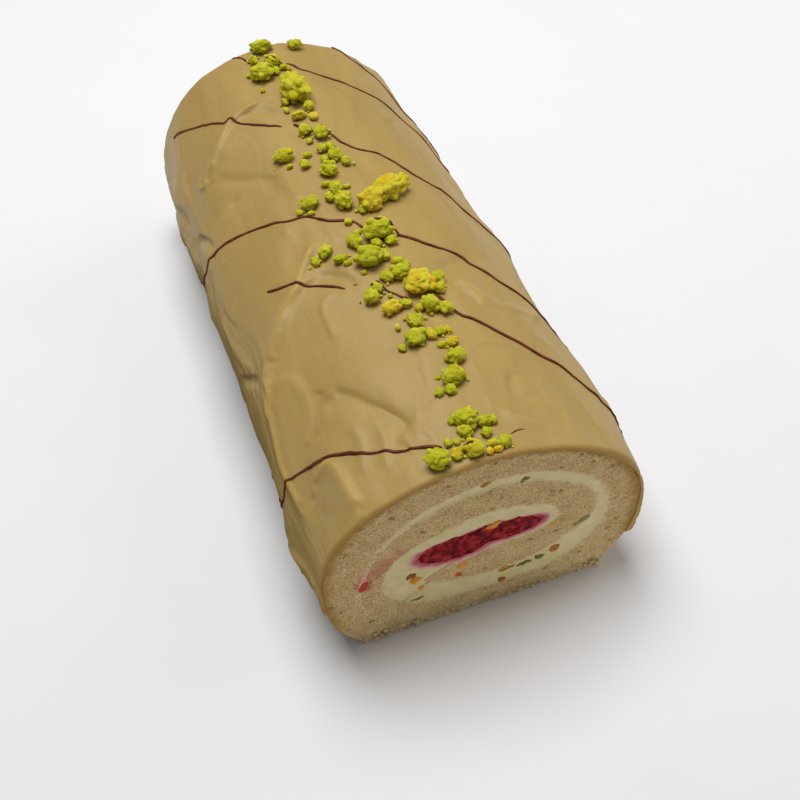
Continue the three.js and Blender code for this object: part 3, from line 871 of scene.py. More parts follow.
MARK_STRENGTH = 1.8     # carries every mark's height to its true one, in mm
PIMPLE_COUNT = 60
LIP_ROUND = 2.2         # the lower edge is rounded over this
CUT_ROUND = 0.55        # how far the glaze is drawn in at a cut, over its last CUT_FADE
CUT_FADE = 0.9
CUT_STEP = 0.3          # the grid's first step from a cut
COAT_OVERLAP = 0.12     # the coat's inside stands this far off the solid sponge
GLAZE_STEPS = (248, 348)  # of the outer grid, across and along
GLAZE_RATIO = 4         # steps of the outer grid to one of the inner
# Spatula marks: a path of (across, along), height, and width to the left and to the right of it.
MARKS = (
    (((-20, -8), (-30, -21), (-35, -28), (-42, -33), (-48, -40), (-54, -45), (-57, -50)), 0.75, 1, 2.6),
    (((-23, -26), (-27, -26), (-32, -27), (-39, -33), (-46, -41)), 0.5, 1, 2.2),
    (((-54, -49), (-57, -53)), -0.9, 2.2, 2.2),
    (((-59, -55), (-62, -62), (-65, -70), (-68, -82), (-70, -93), (-69, -114)), 0.7, 1, 2.6),
    (((-21, -40), (-25, -39), (-29, -42), (-30, -49), (-30, -62)), 0.45, 2.5, 1),
    (((-7, -73), (-6, -85), (-8, -98), (-9, -107), (-14, -115), (-15, -122), (-13, -127)),
     -0.25, 1.2, 1.6),
    (((-40, -82), (-34, -88), (-28, -97), (-23, -105), (-20, -111), (-21, -118)), -0.75, 1.8, 6),
    (((-31, -100), (-28, -106), (-28, -114), (-29, -119), (-33, -127)), 0.35, 1.6, 2.2),
    (((-38, -100), (-36, -108), (-37, -115), (-41, -124)), 0.3, 1.6, 2.2),
    (((-56, -58), (-51, -66), (-49, -76), (-51, -87), (-56, -98)), 0.4, 2, 4),
    (((-41, -86), (-46, -90), (-52, -96)), 0.4, 3, 1.4),
    (((-64, -115), (-60, -111), (-55, -109), (-49, -111), (-47, -120), (-46, -128), (-45, -135)),
     0.75, 1.4, 3.6),
    (((-56, -110), (-62, -114)), -0.7, 2.2, 2.2),
    (((-84, -29), (-71, -43), (-67, -52), (-68, -59)), -0.8, 1.2, 2.6),
    (((-71, -43), (-66, -51), (-66, -62), (-67, -73)), 0.5, 1.2, 1.6),
    (((-92, -11), (-99, -29), (-102, -55), (-98, -83)), -0.5, 1.6, 2.4),
    (((-75, 1), (-76, -20), (-71, -38)), 0.4, 1.2, 2.6),
    (((-13, 96), (-21, 95), (-28, 93), (-32, 91), (-38, 84), (-45, 77), (-49, 73)), 0.9, 0.9, 2.6),
    (((-28, 92), (-21, 92), (-15, 90), (-10, 82)), -0.6, 1.8, 3.4),
    (((-49, 69), (-38, 54), (-29, 46), (-22, 37)), -0.6, 2.4, 4),
    (((-40, 47), (-49, 44)), -0.5, 2, 3),
    (((-22, 38), (-19, 31), (-17, 19)), 0.4, 1.4, 3),
    (((-54, 75), (-53, 70), (-55, 69), (-57, 73), (-57, 76), (-54, 75)), 0.9, 0.9, 0.9),
    (((-73, 56), (-65, 42), (-64, 33)), -0.9, 1.2, 3),
    (((-98, 115), (-77, 81), (-77, 67)), -0.7, 1.4, 3),
    (((-27, 8), (-31, 3)), 0.4, 0.9, 1.4),
    (((-19, 0), (-13, -5), (-11, -15)), 0.35, 1.4, 2.2),
    (((-20, -6), (-18, -15), (-16, -20)), 0.25, 1.4, 2.2),
    (((-29, -26), (-23, -27), (-16, -34), (-12, -42)), -0.55, 2, 3.4),
    (((20, -42), (26, -37), (35, -33)), -0.5, 2, 3),
    (((21, -49), (26, -54), (29, -61), (30, -67)), 0.6, 2.6, 1.2),
    (((23, -48), (30, -56), (39, -63), (59, -64)), 0.35, 3, 2),
    (((60, -62), (51, -69), (45, -77), (43, -85), (43, -89)), 0.45, 1, 2),
    (((27, -100), (24, -105), (22, -111), (24, -116), (30, -118)), -0.7, 4, 1.6),
    (((36, -95), (35, -108), (34, -118)), 0.3, 0.8, 0.8),
    (((14, -86), (21, -86), (27, -87), (37, -92)), 0.35, 1.6, 1),
    (((16, -116), (17, -122), (21, -126), (29, -129)), 0.45, 1.2, 3),
    (((39, -115), (40, -122), (41, -130), (44, -136)), 0.35, 1, 1.6),
    (((49, -110), (51, -121), (52, -132)), 0.3, 1, 1.6),
    (((73, 37), (72, 17), (73, 2)), 0.4, 1.2, 2.4),
    (((73, 76), (73, 52), (72, 33)), 0.35, 1.2, 2.4),
    (((10, 95), (19, 96), (24, 90), (25, 81), (23, 68)), 0.35, 1.2, 2.8),
    (((43, 82), (47, 82), (44, 77), (40, 75), (43, 82)), 0.35, 0.9, 0.9),
    (((10, 29), (8, 23)), 0.35, 0.8, 0.8),
    (((-62, 95), (-66, 75), (-65, 46), (-69, 22)), 0.45, 1.4, 2.4),
    (((-10, -108), (-14, -114), (-14, -123)), 0.4, 1.4, 3),
    (((6, -58), (5, -68), (7, -76)), -0.3, 2.5, 2.5),
    (((-103, -64), (-101, -96), (-88, -136)), 0.6, 1.2, 3.5),
    (((86, 110), (80, 70), (86, 30)), 0.5, 1.2, 4),
    (((82, 20), (92, -10), (86, -50)), 0.5, 1.2, 4),
    (((69, -101), (82, -115), (85, -136)), 0.5, 1.2, 4),
    (((78, -62), (90, -84), (98, -120)), 0.5, 1.2, 4),
)


def smooth_path(path, per_leg):
    """Points on the smooth curve through the given ones, so many on each leg."""
    path = np.asarray(path, float)
    place = np.linspace(0, len(path) - 1, (len(path) - 1) * per_leg + 1)
    return np.column_stack([smooth_at(path[:, k], place) for k in range(2)])


def off_path(across, along, path):
    """Signed distance from each spot to the nearest leg of a path, positive on its left."""
    nearest = np.full(across.shape, 1e9)
    side = np.ones(across.shape)
    for (x0, y0), (x1, y1) in zip(path[:-1], path[1:]):
        dx, dy = x1 - x0, y1 - y0
        share = np.clip(((across - x0) * dx + (along - y0) * dy) / (dx * dx + dy * dy), 0, 1)
        away = np.hypot(across - x0 - share * dx, along - y0 - share * dy)
        closer = away < nearest
        nearest = np.where(closer, away, nearest)
        side = np.where(closer, np.sign(dx * (along - y0) - dy * (across - x0)), side)
    return nearest * np.where(side == 0, 1, side)


def end_fade(across, along, path):
    """1 along a path, falling to 0 over the last 5 mm towards either end."""
    ends = [np.hypot(across - x, along - y) for x, y in (path[0], path[-1])]
    return smooth_step(0, 5, np.minimum(*ends))


def broad_relief(across, along):
    """The solid's own relief: slow swells, deeper down the sides, and its folds."""
    depth = 0.3 + 0.8 * smooth_step(35, 75, np.abs(across))
    lengthways = np.sin(along / 14 + 1.7 * np.sin(across / 19))
    total = depth * lengthways * np.sin(across / 16 + 0.8 * np.sin(along / 31))
    for start, end, height, width in FOLDS:
        away = np.abs(off_path(across, along, np.array([start, end], float))) / width
        total = total + height * np.exp(-away * away)
    return np.maximum(total, 0.9 - COAT)


def on_flank(across):
    """How far down a side a spot lies: 0 on the top, 1 on the sides, where the glaze is combed."""
    return smooth_step(52, 70, np.abs(across))


def fine_relief(across, along):
    """Spatula marks, each a bell curve of the distance from its path, steep on one side and gentle on the
    other, with slow streaks of noise drawn out along the roll and small round pimples.
    """
    spots = np.stack([across, along, 0 * across], axis=-1)
    total = 0.45 * noise(spots * (1, 0.45, 1), 13, 91)
    bent = spots + 9 * np.stack([noise(spots, 34, 92), noise(spots, 34, 93), 0 * across], axis=-1)
    streak = noise(bent * (1, 0.22, 1), 5.5, 94)
    total = total + 0.3 * streak + 1.2 * np.maximum(0, 0.18 - np.abs(noise(bent * (1, 0.35, 1), 20, 95)))
    combed = 0.5 - np.abs(noise(bent * (1, 0.1, 1), 3.4, 98)) + 0.5 * noise(bent * (1, 0.16, 1), 6, 99)
    total = total + 0.45 * on_flank(across) * combed
    for path, height, steep, gentle in MARKS:
        curve = smooth_path(path, 6)
        away = off_path(across, along, curve)
        width = np.where(away > 0, steep, gentle)
        fade = end_fade(across, along, curve)
        total = total + MARK_STRENGTH * height * fade * np.exp(-(away / width) ** 2)
    rng = np.random.default_rng(96)
    pimples = zip(rng.uniform(-95, 95, PIMPLE_COUNT), rng.uniform(-HALF_LENGTH, HALF_LENGTH, PIMPLE_COUNT))
    for x, y in pimples:
        away = np.hypot(across - x, along - y) / rng.uniform(0.8, 1.8)
        total = total + rng.uniform(0.12, 0.35) * np.exp(-away * away)
    return total


def glaze_lines():
    """The glaze's mean outline: arc length from the middle of the top, x, z, and the normal's x, z."""
    x, z = outline(3000, COAT)
    length = np.append(0, np.cumsum(np.hypot(np.diff(x), np.diff(z))))
    across = length[-1] / 2 - length
    nx, nz = np.gradient(z), -np.gradient(x)
    size = np.hypot(nx, nz)
    return tuple(np.flip(line) for line in (across, x, z, nx / size, nz / size))


ARC, ARC_X, ARC_Z, ARC_NX, ARC_NZ = glaze_lines()


def on_glaze(across, along, height):
    """A point that height mm above the glaze's mean surface at a spot, as [x, y, z]."""
    x, z, nx, nz = (np.interp(across, ARC, line) for line in (ARC_X, ARC_Z, ARC_NX, ARC_NZ))
    return uneven(x + nx * height, z + nz * height, along)


def lip(side, along):
    """Arc length of the glaze's lower edge on one side: where its waves put it on the outline."""
    middle, phase = (LIP_LEFT, 4) if side < 0 else (LIP_RIGHT, 1)
    waves = np.sin(along / 17 + phase) + 0.5 * np.sin(along / 6.5 + 2 * phase)
    spots = np.stack([along, 0 * along, 0 * along], axis=-1)
    rough = noise(spots, 4.5, 97 + side) + 0.5 * noise(spots, 1.8, 99 + side)
    return where_low(side, middle + LIP_WAVE * waves + rough, ARC, ARC_Z)


def stitched(outer, inner, ratio):
    """Triangles between the rims of two grids of point numbers, the outer one ratio times finer."""
    def rim(grid):
        return np.concatenate([grid[:-1, 0], grid[-1, :-1], grid[:0:-1, -1], grid[0, :0:-1]])
    fine, coarse = rim(outer), rim(inner)
    k = np.arange(len(fine))
    near = ((k + ratio // 2) // ratio) % len(coarse)
    fans = np.column_stack([fine, coarse[near], np.roll(fine, -1)])
    turn = ratio - 1 - ratio // 2
    middle = fine[np.arange(len(coarse)) * ratio + turn + 1 if ratio > 1 else slice(None)]
    gaps = np.column_stack([middle, coarse, np.roll(coarse, -1)])
    return np.concatenate([fans, gaps])


def grid_quads(grid):
    """Quads of a grid of point numbers."""
    return np.stack([grid[:-1, :-1], grid[1:, :-1], grid[1:, 1:], grid[:-1, 1:]], -1).reshape(-1, 4)


def build_glaze(looks):
    """The coat: a fine grid over the roll outside, a coarse one inside, stitched round the rim.

    Its directions are arc length between the two lower edges, and the roll's. Each point stands off
    the mean surface by the relief, less a quarter round at the lower edge and a curve at each cut.
    """
    half = HALF_LENGTH
    share = np.linspace(0, 1, GLAZE_STEPS[0] + 1)[:, None]
    between = np.linspace(-half + CUT_FADE, half - CUT_FADE, GLAZE_STEPS[1] - 3)
    along = np.concatenate([[-half, -half + CUT_STEP], between, [half - CUT_STEP, half]])[None, :]
    left, right = lip(-1, along), lip(1, along)
    across = left + (right - left) * share
    along = np.broadcast_to(along, across.shape)
    marks = fine_relief(across, along)
    relief = broad_relief(across, along) + marks
    from_lip = np.clip(np.minimum(across - left, right - across) / LIP_ROUND, 0, 1)
    to_cut = half - np.abs(along)
    lip_round = (COAT + relief - 0.5) * (1 - np.sqrt(np.clip(1 - (1 - from_lip) ** 2, 0, 1)))
    cut_round = CUT_ROUND * (1 - smooth_step(0, CUT_FADE, to_cut))
    outer = on_glaze(across, along, relief - lip_round - cut_round)

    coarse = (slice(None, None, GLAZE_RATIO), slice(None, None, GLAZE_RATIO))
    inner = on_glaze(across[coarse], along[coarse], COAT_OVERLAP - COAT)
    outer_ids = np.arange(across.size).reshape(across.shape)
    inner_ids = across.size + np.arange(across[coarse].size).reshape(across[coarse].shape)
    points = np.concatenate([outer.reshape(-1, 3), inner.reshape(-1, 3)])
    faces = [grid_quads(outer_ids)[:, ::-1], grid_quads(inner_ids),
             stitched(outer_ids, inner_ids, GLAZE_RATIO)[:, ::-1]]
    unseen = np.zeros(inner_ids.size)
    values = {"rim": np.append(1 - smooth_step(0.1, 0.8, to_cut), to_cut[coarse] < 0.1),
              "crest": np.append(smooth_step(0.5, 1.5, marks), unseen),
              "flank": np.append(on_flank(across), unseen)}
    at_cut = np.append(to_cut < ON_CUT, to_cut[coarse] < ON_CUT)
    return piece("caramel_coat", points, faces, caramel_glaze(looks), ["glaze"], values,
                 at_cut)


# ------------------------------------------------------------------ chocolate threads

# Each thread as spots (across, along), and its mean width in mm.
THREADS = (
    (((-19, 139), (-15, 136), (-11, 129), (-6, 124), (0, 120), (6, 119), (10, 113), (16, 108),
      (22, 105), (32, 100), (39, 97), (47, 94), (57, 81), (72, 60), (86, 34)), 1.1),
    (((33, 139.4), (38, 138), (44, 134), (49, 129), (54, 125), (59, 117), (70, 96), (86, 70)), 1.1),
    (((-64, 124), (-61, 123), (-54, 116), (-46, 108), (-39, 101), (-34, 95), (-31, 94), (-28, 89),
      (-22, 82), (-16, 76), (-11, 72)), 1.2),
    (((-6, 72), (-3, 67), (1, 63), (5, 60), (8, 57), (10, 52), (14, 47), (19, 43), (24, 41), (28, 36),
      (32, 31), (36.5, 26), (44, 22), (49.5, 18.5), (55, 11.5), (60.5, 6.5), (64.5, 3.5), (74, -5),
      (86, -16)), 1.2),
    (((-98, 60), (-92, 46), (-85, 37), (-76, 32), (-69, 32), (-62, 30), (-55, 28), (-48, 24), (-40, 19),
      (-33, 15), (-27, 11), (-22, 10), (-17, 7), (-12, 1), (-7, -1), (-3, -4), (0, -10), (3, -13),
      (7, -16), (11, -18.5), (17, -22), (22, -26), (28, -29), (34, -32), (40, -38.5), (47, -44),
      (53.5, -48), (59, -51.8), (63, -55), (74, -64), (90, -76)), 1.3),
    (((-47, -16), (-43, -19), (-37, -23), (-32, -27), (-27, -31), (-22, -35), (-18, -39)), 1.2),
    (((-15, -38), (-13, -39)), 0.9),
    (((-9, -42), (-6.5, -44), (-4.5, -47), (-3, -50), (0, -54), (2, -56)), 1.2),
    (((13, -57), (15, -61), (16, -65), (18, -69), (22, -73), (30, -80.5), (38, -87), (43, -91.5),
      (50, -95), (57, -100), (63.5, -105), (74, -111), (90, -122)), 1.4),
    (((-112, -58), (-106, -76), (-98, -88), (-88, -96), (-80, -99), (-76, -98), (-70, -100),
      (-64, -102), (-58, -104), (-53, -106), (-47, -109), (-41, -112), (-36, -116), (-30, -119),
      (-25, -122), (-21, -124), (-14, -127), (-11, -129)), 1.3),
    (((-5, -132), (-2, -134), (1, -133)), 0.9),
    (((13, -131), (16, -130), (19, -130)), 0.6),
)
THREAD_STEP = 0.7
THREAD_SIDES = 8
THREAD_TAPER = 1.5    # a thread thins over this at its ends
THREAD_STRAY = 0.22   # how far a thread strays from its path
THREAD_SWELL = 0.28   # how much it swells and thins, as a share of its width
THREAD_FLAT = 0.7     # its height as a share of its width
THREAD_RISE = 0.25    # how high its middle lies on the glaze, as a share of half its width
THREAD_LEAST = 0.02   # its least radius
THREAD_CLEAR = 0.4    # how far it stays from a cut


def crumb_tops(across, along):
    """Height of the crumbs over the glaze at each spot: half balls squashed to each crumb's size."""
    highest = np.zeros(np.shape(across))
    for x, y, width, length, *turn in CRUMBS:
        angle = math.radians(sum(turn))
        dx, dy = across - x, along - y
        u = (dx * math.cos(angle) + dy * math.sin(angle)) / (width / 2)
        v = (dy * math.cos(angle) - dx * math.sin(angle)) / (length / 2)
        half = (width + length) / 4 * CRUMB_RISE
        round_top = half * np.sqrt(np.clip(1 - u * u - v * v, 0, 1)) + half * (1 - 2 * CRUMB_SINK)
        highest = np.maximum(highest, np.where(u * u + v * v < 1, round_top, 0))
    return highest


def thread(path, width, seed):
    """A thread of chocolate: a flattened round carried along its path on the glaze, thinner at ends.

    Where crumbs lie in its way it runs over them, and their height is evened out along it.
    """
    curve = smooth_path(path, 8)
    length = np.append(0, np.cumsum(np.linalg.norm(np.diff(curve, axis=0), axis=1)))
    count = max(8, int(length[-1] / THREAD_STEP))
    run = np.linspace(0, length[-1], count)
    spots = np.column_stack([np.interp(run, length, curve[:, k]) for k in (0, 1)])
    place = np.stack([run, np.full(count, 7.0 * seed), np.zeros(count)], axis=-1)
    spots = spots + THREAD_STRAY * np.stack([noise(place, 3, 111), noise(place, 3, 112)], axis=-1)
    spots[:, 1] = np.clip(spots[:, 1], THREAD_CLEAR - HALF_LENGTH, HALF_LENGTH - THREAD_CLEAR)
    ends = np.clip(np.minimum(run, length[-1] - run) / THREAD_TAPER, 0, 1)
    swell = 1 + THREAD_SWELL * noise(place, 6, 113)
    radius = np.maximum(width / 2 * swell * np.sqrt(ends), THREAD_LEAST)
    lifted = np.convolve(np.pad(crumb_tops(*spots.T), 2, mode="edge"), np.full(5, 0.2), "valid")
    relief = lifted + broad_relief(*spots.T) + fine_relief(*spots.T)
    middle = on_glaze(*spots.T, relief)
    out = on_glaze(*spots.T, relief + 1) - middle
    sideways = np.cross(np.gradient(middle, axis=0), out)
    sideways /= np.linalg.norm(sideways, axis=1, keepdims=True)
    angle = np.linspace(0, 2 * math.pi, THREAD_SIDES, endpoint=False)[:, None]
    ring = sideways[:, None] * np.cos(angle) + out[:, None] * (THREAD_FLAT * np.sin(angle) + THREAD_RISE)
    tube = (middle[:, None] + ring * radius[:, None, None]).reshape(-1, 3)
    ids = np.arange(count * THREAD_SIDES).reshape(count, THREAD_SIDES)
    fan = np.arange(1, THREAD_SIDES - 1)
    first = np.column_stack([np.zeros_like(fan), fan, fan + 1])
    return tube, grid_quads(np.column_stack([ids, ids[:, :1]])), first, ids[-1, 0] + first[:, ::-1]


def build_threads(looks):
    """Thin threads of dark chocolate run back and forth over the glaze: tubes with flat ends."""
    points, quads, caps = [], [], []
    start = 0
    for seed, (path, width) in enumerate(THREADS):
        tube, faces, first, last = thread(path, width * looks.thread_width, seed)
        points.append(tube)
        quads.append(faces + start)
        caps += [first + start, last + start]
        start += len(tube)
    return piece("chocolate_threads", np.concatenate(points), [np.concatenate(quads), np.concatenate(caps)],
                 dark_chocolate(looks))


# ------------------------------------------------------------------ green crumbs

# Crumbs on the glaze, as on the solid: across, along, width, length and turn in degrees.
CRUMBS = (
    (-4, 136, 11, 7), (13, 134, 7, 6), (-9, 114, 11, 11), (-10, 128, 4, 6), (-2, 122, 7, 9),
    (1, 93, 12, 19, 6), (-5, 88, 4, 5), (4, 80, 5, 6), (-2, 75, 7, 5), (-3, 63, 5, 7), (3, 58, 6, 8),
    (0, 47, 5, 4), (4, 47, 4, 5), (-17, 50, 9, 7), (-10, 40, 4, 5), (4, 40, 6, 7), (7, 35, 4, 5),
    (-2, 31, 8, 9), (-3, 18, 6, 7), (-3, 8, 7, 10), (-7, 14, 4, 5), (-16, 14, 8, 6), (3, 1, 4, 5),
    (15.5, 8.5, 14, 11.5, 31), (4, -16, 13, 10, -20), (7, -22, 5, 5), (-7, -18, 6, 8),
    (-5, -30, 12, 11), (1, -30, 5, 6), (-19, -17, 6, 6), (-24, -19, 4, 5), (-15, -24, 6, 4),
    (4, -42, 8, 8), (-2, -42, 5, 6), (-7, -46, 4, 6), (-11, -50, 6, 7), (8, -52, 12, 11),
    (17, -48, 5, 6), (15, -54, 5, 5), (-6, -59, 8, 6, 20), (0, -59, 5, 4), (8, -63, 7, 8),
    (13, -66, 6, 6), (0, -69, 6, 7), (-3, -78, 8, 8), (3, -78, 4, 5), (7, -77, 4, 4), (9, -84, 5, 4),
    (7, -92, 8, 7), (3, -101, 9, 8), (0, -106, 4, 5), (-4, -106, 4, 4), (0, -121, 8, 8),
    (-4, -120, 4, 3), (-2, -126, 5, 6), (6, -124, 6, 4), (5, -129, 4, 4), (-2, -135, 7, 8),
    (-15, -134, 9, 8), (-8, -134, 4, 5), (9, -135, 5, 5), (8.5, 4.5, 13, 11, 31),
    (22.5, 13, 12, 9.5, 31),
)
# How yellow some of them are, from 0 to 1, by place in the list.
WARMTH = {5: 0.25, 7: 0.2, 8: 0.3, 13: 0.1, 14: 0.2, 23: 0.6, 36: 0.8, 38: 0.4, 39: 1.0, 45: 0.4, 47: 0.6,
          57: 0.35, 59: 0.4, 61: 0.8, 62: 0.5}
CRUMB_RISE = 0.72     # a crumb's height as a share of its mean width
CRUMB_SINK = 0.13     # and how much of that is sunk in the glaze
# Smaller crumbs between them: across, along, size and how yellow.
SMALL_CRUMBS = (
    (-2, 114, 4.3, 0), (2, 116, 3.7, 0.1), (4, 115, 3.3, 0), (-15, 118, 2.8, 0), (-12, 103, 2.6, 0.3),
    (-1, 87, 3.5, 0), (4, 87, 5.5, 0.1), (-6, 82, 3.3, 0.4), (4, 72, 4.8, 0.9), (-3, 55, 3.1, 0.2),
    (-7, 46, 3.5, 0.1), (-16, 43, 2.7, 0.3), (-1, 39, 4.4, 0), (-6, 23, 3.7, 0.2), (2, 18, 3, 0),
    (-21, 12, 3.4, 0), (-17, 9, 3, 0.3), (-5, -4, 3.6, 0.1), (-4, -12, 3.1, 0), (1, -22, 5, 0),
    (-13, -27, 3.3, 0), (-9, -35, 2.5, 0.3), (5, -35, 4.9, 0.2), (8, -37, 3.5, 0), (4, -50, 4.9, 0.3),
    (-4, -52, 2.3, 0.2), (4, -63, 3.9, 0.4), (-7, -69, 2.8, 0), (10, -77, 3.3, 0.4), (-9, -80, 3.4, 0),
    (5, -84, 3.2, 0.1), (-2, -99, 2.3, 0), (9, -124, 3.6, 0), (1, -124, 4.6, 0.1), (-9, -128, 3.3, 0.2),
    (-6, -129, 2.7, 0.3), (5, -134, 3.7, 0.5), (6, -137, 3.2, 0.9), (3, -137, 3, 0.8),
)
BODY_REACH = 0.72     # of the round body that a crumb's knobs stand on
KNOB_REACHES = (0.52, 0.76)  # how far out the middles of the knobs lie
KNOB_RADII = (0.13, 0.31)
CRUMB_CLEAR = 0.58    # how far a crumb's middle stays from a cut, as a share of its length
CREASE_WIDTH = 0.035
CREASE_DEPTH = 0.03


def knobbly_ball(count, centre, size, turn, seed, knobs):
    """A lump of knobs grown together: round knobs placed about a round body, and the outermost shows.

    The reach along each way is where its line leaves the last knob: how far along it the knob's
    middle lies, plus the root of the knob's radius squared less its distance from the line squared.
    The lump is then scaled to its size. Also gives how deep in a crease each point lies, from 0 to 1, which
    the crumb's material paints as shade.
    """
    rng = np.random.default_rng(seed)
    ways, faces = ball_grid(count)
    heads = rng.normal(size=(knobs, 3))
    heads *= rng.uniform(*KNOB_REACHES, (knobs, 1)) / np.linalg.norm(heads, axis=1, keepdims=True)
    radii = rng.uniform(*KNOB_RADII, knobs)
    near = ways @ heads.T
    depth = radii ** 2 - np.sum(heads ** 2, axis=1) + near ** 2
    reaches = np.where(depth > 0, near + np.sqrt(np.maximum(depth, 0)), 0)
    reaches = np.sort(np.column_stack([reaches, np.full(len(ways), BODY_REACH)]), axis=1)
    first, second = reaches[:, -1], reaches[:, -2]
    crease = np.exp(-(first - second) / CREASE_WIDTH)
    rough = 0.05 * noise(ways * 3, 1.0, seed) + 0.045 * noise(ways * 6, 1.0, seed + 1)
    points = ways * (first - CREASE_DEPTH * crease + rough)[:, None]
    low, high = points.min(axis=0), points.max(axis=0)
    points = (points - (low + high) / 2) / (high - low) * np.asarray(size)
    c, s = math.cos(turn), math.sin(turn)
    x, y, z = points.T
    spun = np.column_stack([x * c - y * s, x * s + y * c, z])
    return spun + np.asarray(centre), faces, {"crease_shade": crease * smooth_step(0.95, 0.7, first)}


def crumb(across, along, size, turn, seed, detail, knobs, warm):
    """One crumb on the glaze, sunk a little into it. size is its width, length and height."""
    limit = HALF_LENGTH - CRUMB_CLEAR * size[1]
    spot = on_glaze(np.array([across]), np.clip([along], -limit, limit), np.zeros(1))[0]
    spot[2] += size[2] * (0.5 - CRUMB_SINK)
    points, faces, values = knobbly_ball(detail, spot, size, math.radians(turn), seed, knobs)
    return points, faces, {**values, "warm": np.full(len(points), warm)}


def build_crumbs(looks):
    """The line of green cake crumbs along the top, from large knobbly ones down to dust."""
    parts = []
    for index, (across, along, width, length, *turn) in enumerate(CRUMBS):
        mean = (width + length) / 2
        size = (1.08 * width, 1.08 * length, 1.04 * mean * CRUMB_RISE)
        parts.append(crumb(across, along, size, sum(turn), index + 1, 17 if mean >= 8 else 10,
                           int(10 + 2 * mean), WARMTH.get(index, 0)))
    for index, (across, along, mean, warm) in enumerate(SMALL_CRUMBS):
        stretch = 1 + 0.25 * (2 * chance(index) - 1)
        size = (mean * stretch, mean / stretch, mean * CRUMB_RISE)
        parts.append(crumb(across, along, size, 0, 300 + index, 7, 7, warm))
    rng = np.random.default_rng(902)
    for k in range(looks.dust):
        across, along, width, length, *_ = CRUMBS[rng.integers(len(CRUMBS))]
        angle, away = rng.uniform(0, 2 * math.pi), (width + length) / 2 * rng.uniform(0.45, 0.9)
        small = rng.uniform(0.7, 2.2) * rng.uniform(0.6, 1)
        parts.append(crumb(across + away * math.cos(angle), along + away * math.sin(angle),
                           (small, small, small * 0.8), 0, 1000 + k, 4, 5, rng.random() * 0.6))
    points, faces, values = joined(parts)
    return piece("green_cake_crumbs", points, faces, green_crumb(looks), values=values)


# ------------------------------------------------------------------ stage

CAMERA_PLACE = (-94.3, -373.4, 393.9)  # mm; the angles are in degrees
CAMERA_AZIMUTH = 15.89
CAMERA_ELEVATION = 47.59
CAMERA_ROLL = -4.97
FOCAL_PIXELS = 1183.1
IMAGE_PIXELS = 800
SENSOR = 36.0
# The rest of the stage is in metres.
LAMP_TARGET = (0, 0, 0.05)
TOP_LAMP_PLACE = (-0.02, 0.4, 1.45)
RIGHT_LAMP_PLACE = (1.2, 0.1, 0.75)
LAMP_SIZE = 1.0
SKY_FADE = (-0.15, -0.05)  # heights between which the sky darkens, as shares of the way up
GLOW_CENTRE = (-0.02, -0.005)
GLOW_RADII = (0.153, 0.8)
GLOW_HEIGHT = -0.003
GLOW_SIDES = 64
FLOOR_REACH = 6.0
FLOOR_HEIGHT = -0.00005
FLOOR_STEPS = 24


def build_camera():
    """The camera, from its place, the way it looks and its roll about that way."""
    azimuth, elevation, roll = map(math.radians, (CAMERA_AZIMUTH, CAMERA_ELEVATION, CAMERA_ROLL))
    ahead = Vector((math.sin(azimuth) * math.cos(elevation), math.cos(azimuth) * math.cos(elevation),
                    -math.sin(elevation)))
    level = Vector((math.cos(azimuth), -math.sin(azimuth), 0))
    upright = level.cross(ahead)
    right = math.cos(roll) * level + math.sin(roll) * upright
    up = -math.sin(roll) * level + math.cos(roll) * upright
    data = bpy.data.cameras.new("camera")
    data.sensor_width = SENSOR
    data.lens = FOCAL_PIXELS / IMAGE_PIXELS * SENSOR
    camera = bpy.data.objects.new("camera", data)
    turned = Matrix((right, up, -ahead)).transposed().to_4x4()
    camera.matrix_world = Matrix.Translation(Vector(CAMERA_PLACE) * MM) @ turned
    bpy.context.scene.collection.objects.link(camera)
    bpy.context.scene.camera = camera


def build_light(name, place, power):
    """A square soft light at a place, that faces the cake and isn't seen itself."""
    data = bpy.data.lights.new(name, "AREA")
    data.size = LAMP_SIZE
    data.energy = power
    lamp = bpy.data.objects.new(name, data)
    lamp.location = place
    lamp.visible_camera = False
    lamp.rotation_euler = (Vector(LAMP_TARGET) - Vector(place)).to_track_quat("-Z", "Y").to_euler()
    bpy.context.scene.collection.objects.link(lamp)


def build_sky(scene, strength, shade):
    """Even light from all round that fades to a faint one from below, as over a dark table."""
    world = bpy.data.worlds.new("soft_light")
    world.use_nodes = True
    tree = world.node_tree
    background = tree.nodes["Background"]
    background.inputs["Color"].default_value = (1, 1, 1, 1)
    way = add(tree, "ShaderNodeTexCoord", "Generated")
    height = add(tree, "ShaderNodeSeparateXYZ", "Z", Vector=way)
    low, high = SKY_FADE
    level = add(tree, "ShaderNodeMapRange", Value=height, From_Min=low, From_Max=high, To_Min=shade,
                To_Max=strength)
    tree.links.new(level, background.inputs["Strength"])
    scene.world = world


def flat_sheet(name, x, y, height, material):
    """A flat sheet, a grid of quads at one height that faces up."""
    points = np.stack([x, y, np.full_like(x, height)], -1).reshape(-1, 3)
    quads = grid_quads(np.arange(len(points)).reshape(x.shape))
    mesh = bpy.data.meshes.new(name)
    mesh.from_pydata(points.tolist(), [], quads.tolist())
    mesh.materials.append(material)
    sheet = bpy.data.objects.new(name, mesh)
    bpy.context.scene.collection.objects.link(sheet)
    return sheet


def build_glow(strength):
    """A ring just under the floor that lights the cake from below, as a pale table round a dark board."""
    angle = np.linspace(0, 2 * math.pi, GLOW_SIDES + 1)[None, :]
    radius = np.array(GLOW_RADII)[:, None]
    x, y = GLOW_CENTRE[0] + radius * np.cos(angle), GLOW_CENTRE[1] + radius * np.sin(angle)
    material, *_ = new_material("light_panel", Base_Color=(0, 0, 0, 1), Emission_Color=(1, 1, 1, 1),
                                Emission_Strength=strength)
    ring = flat_sheet("glow", x, y, GLOW_HEIGHT, material)


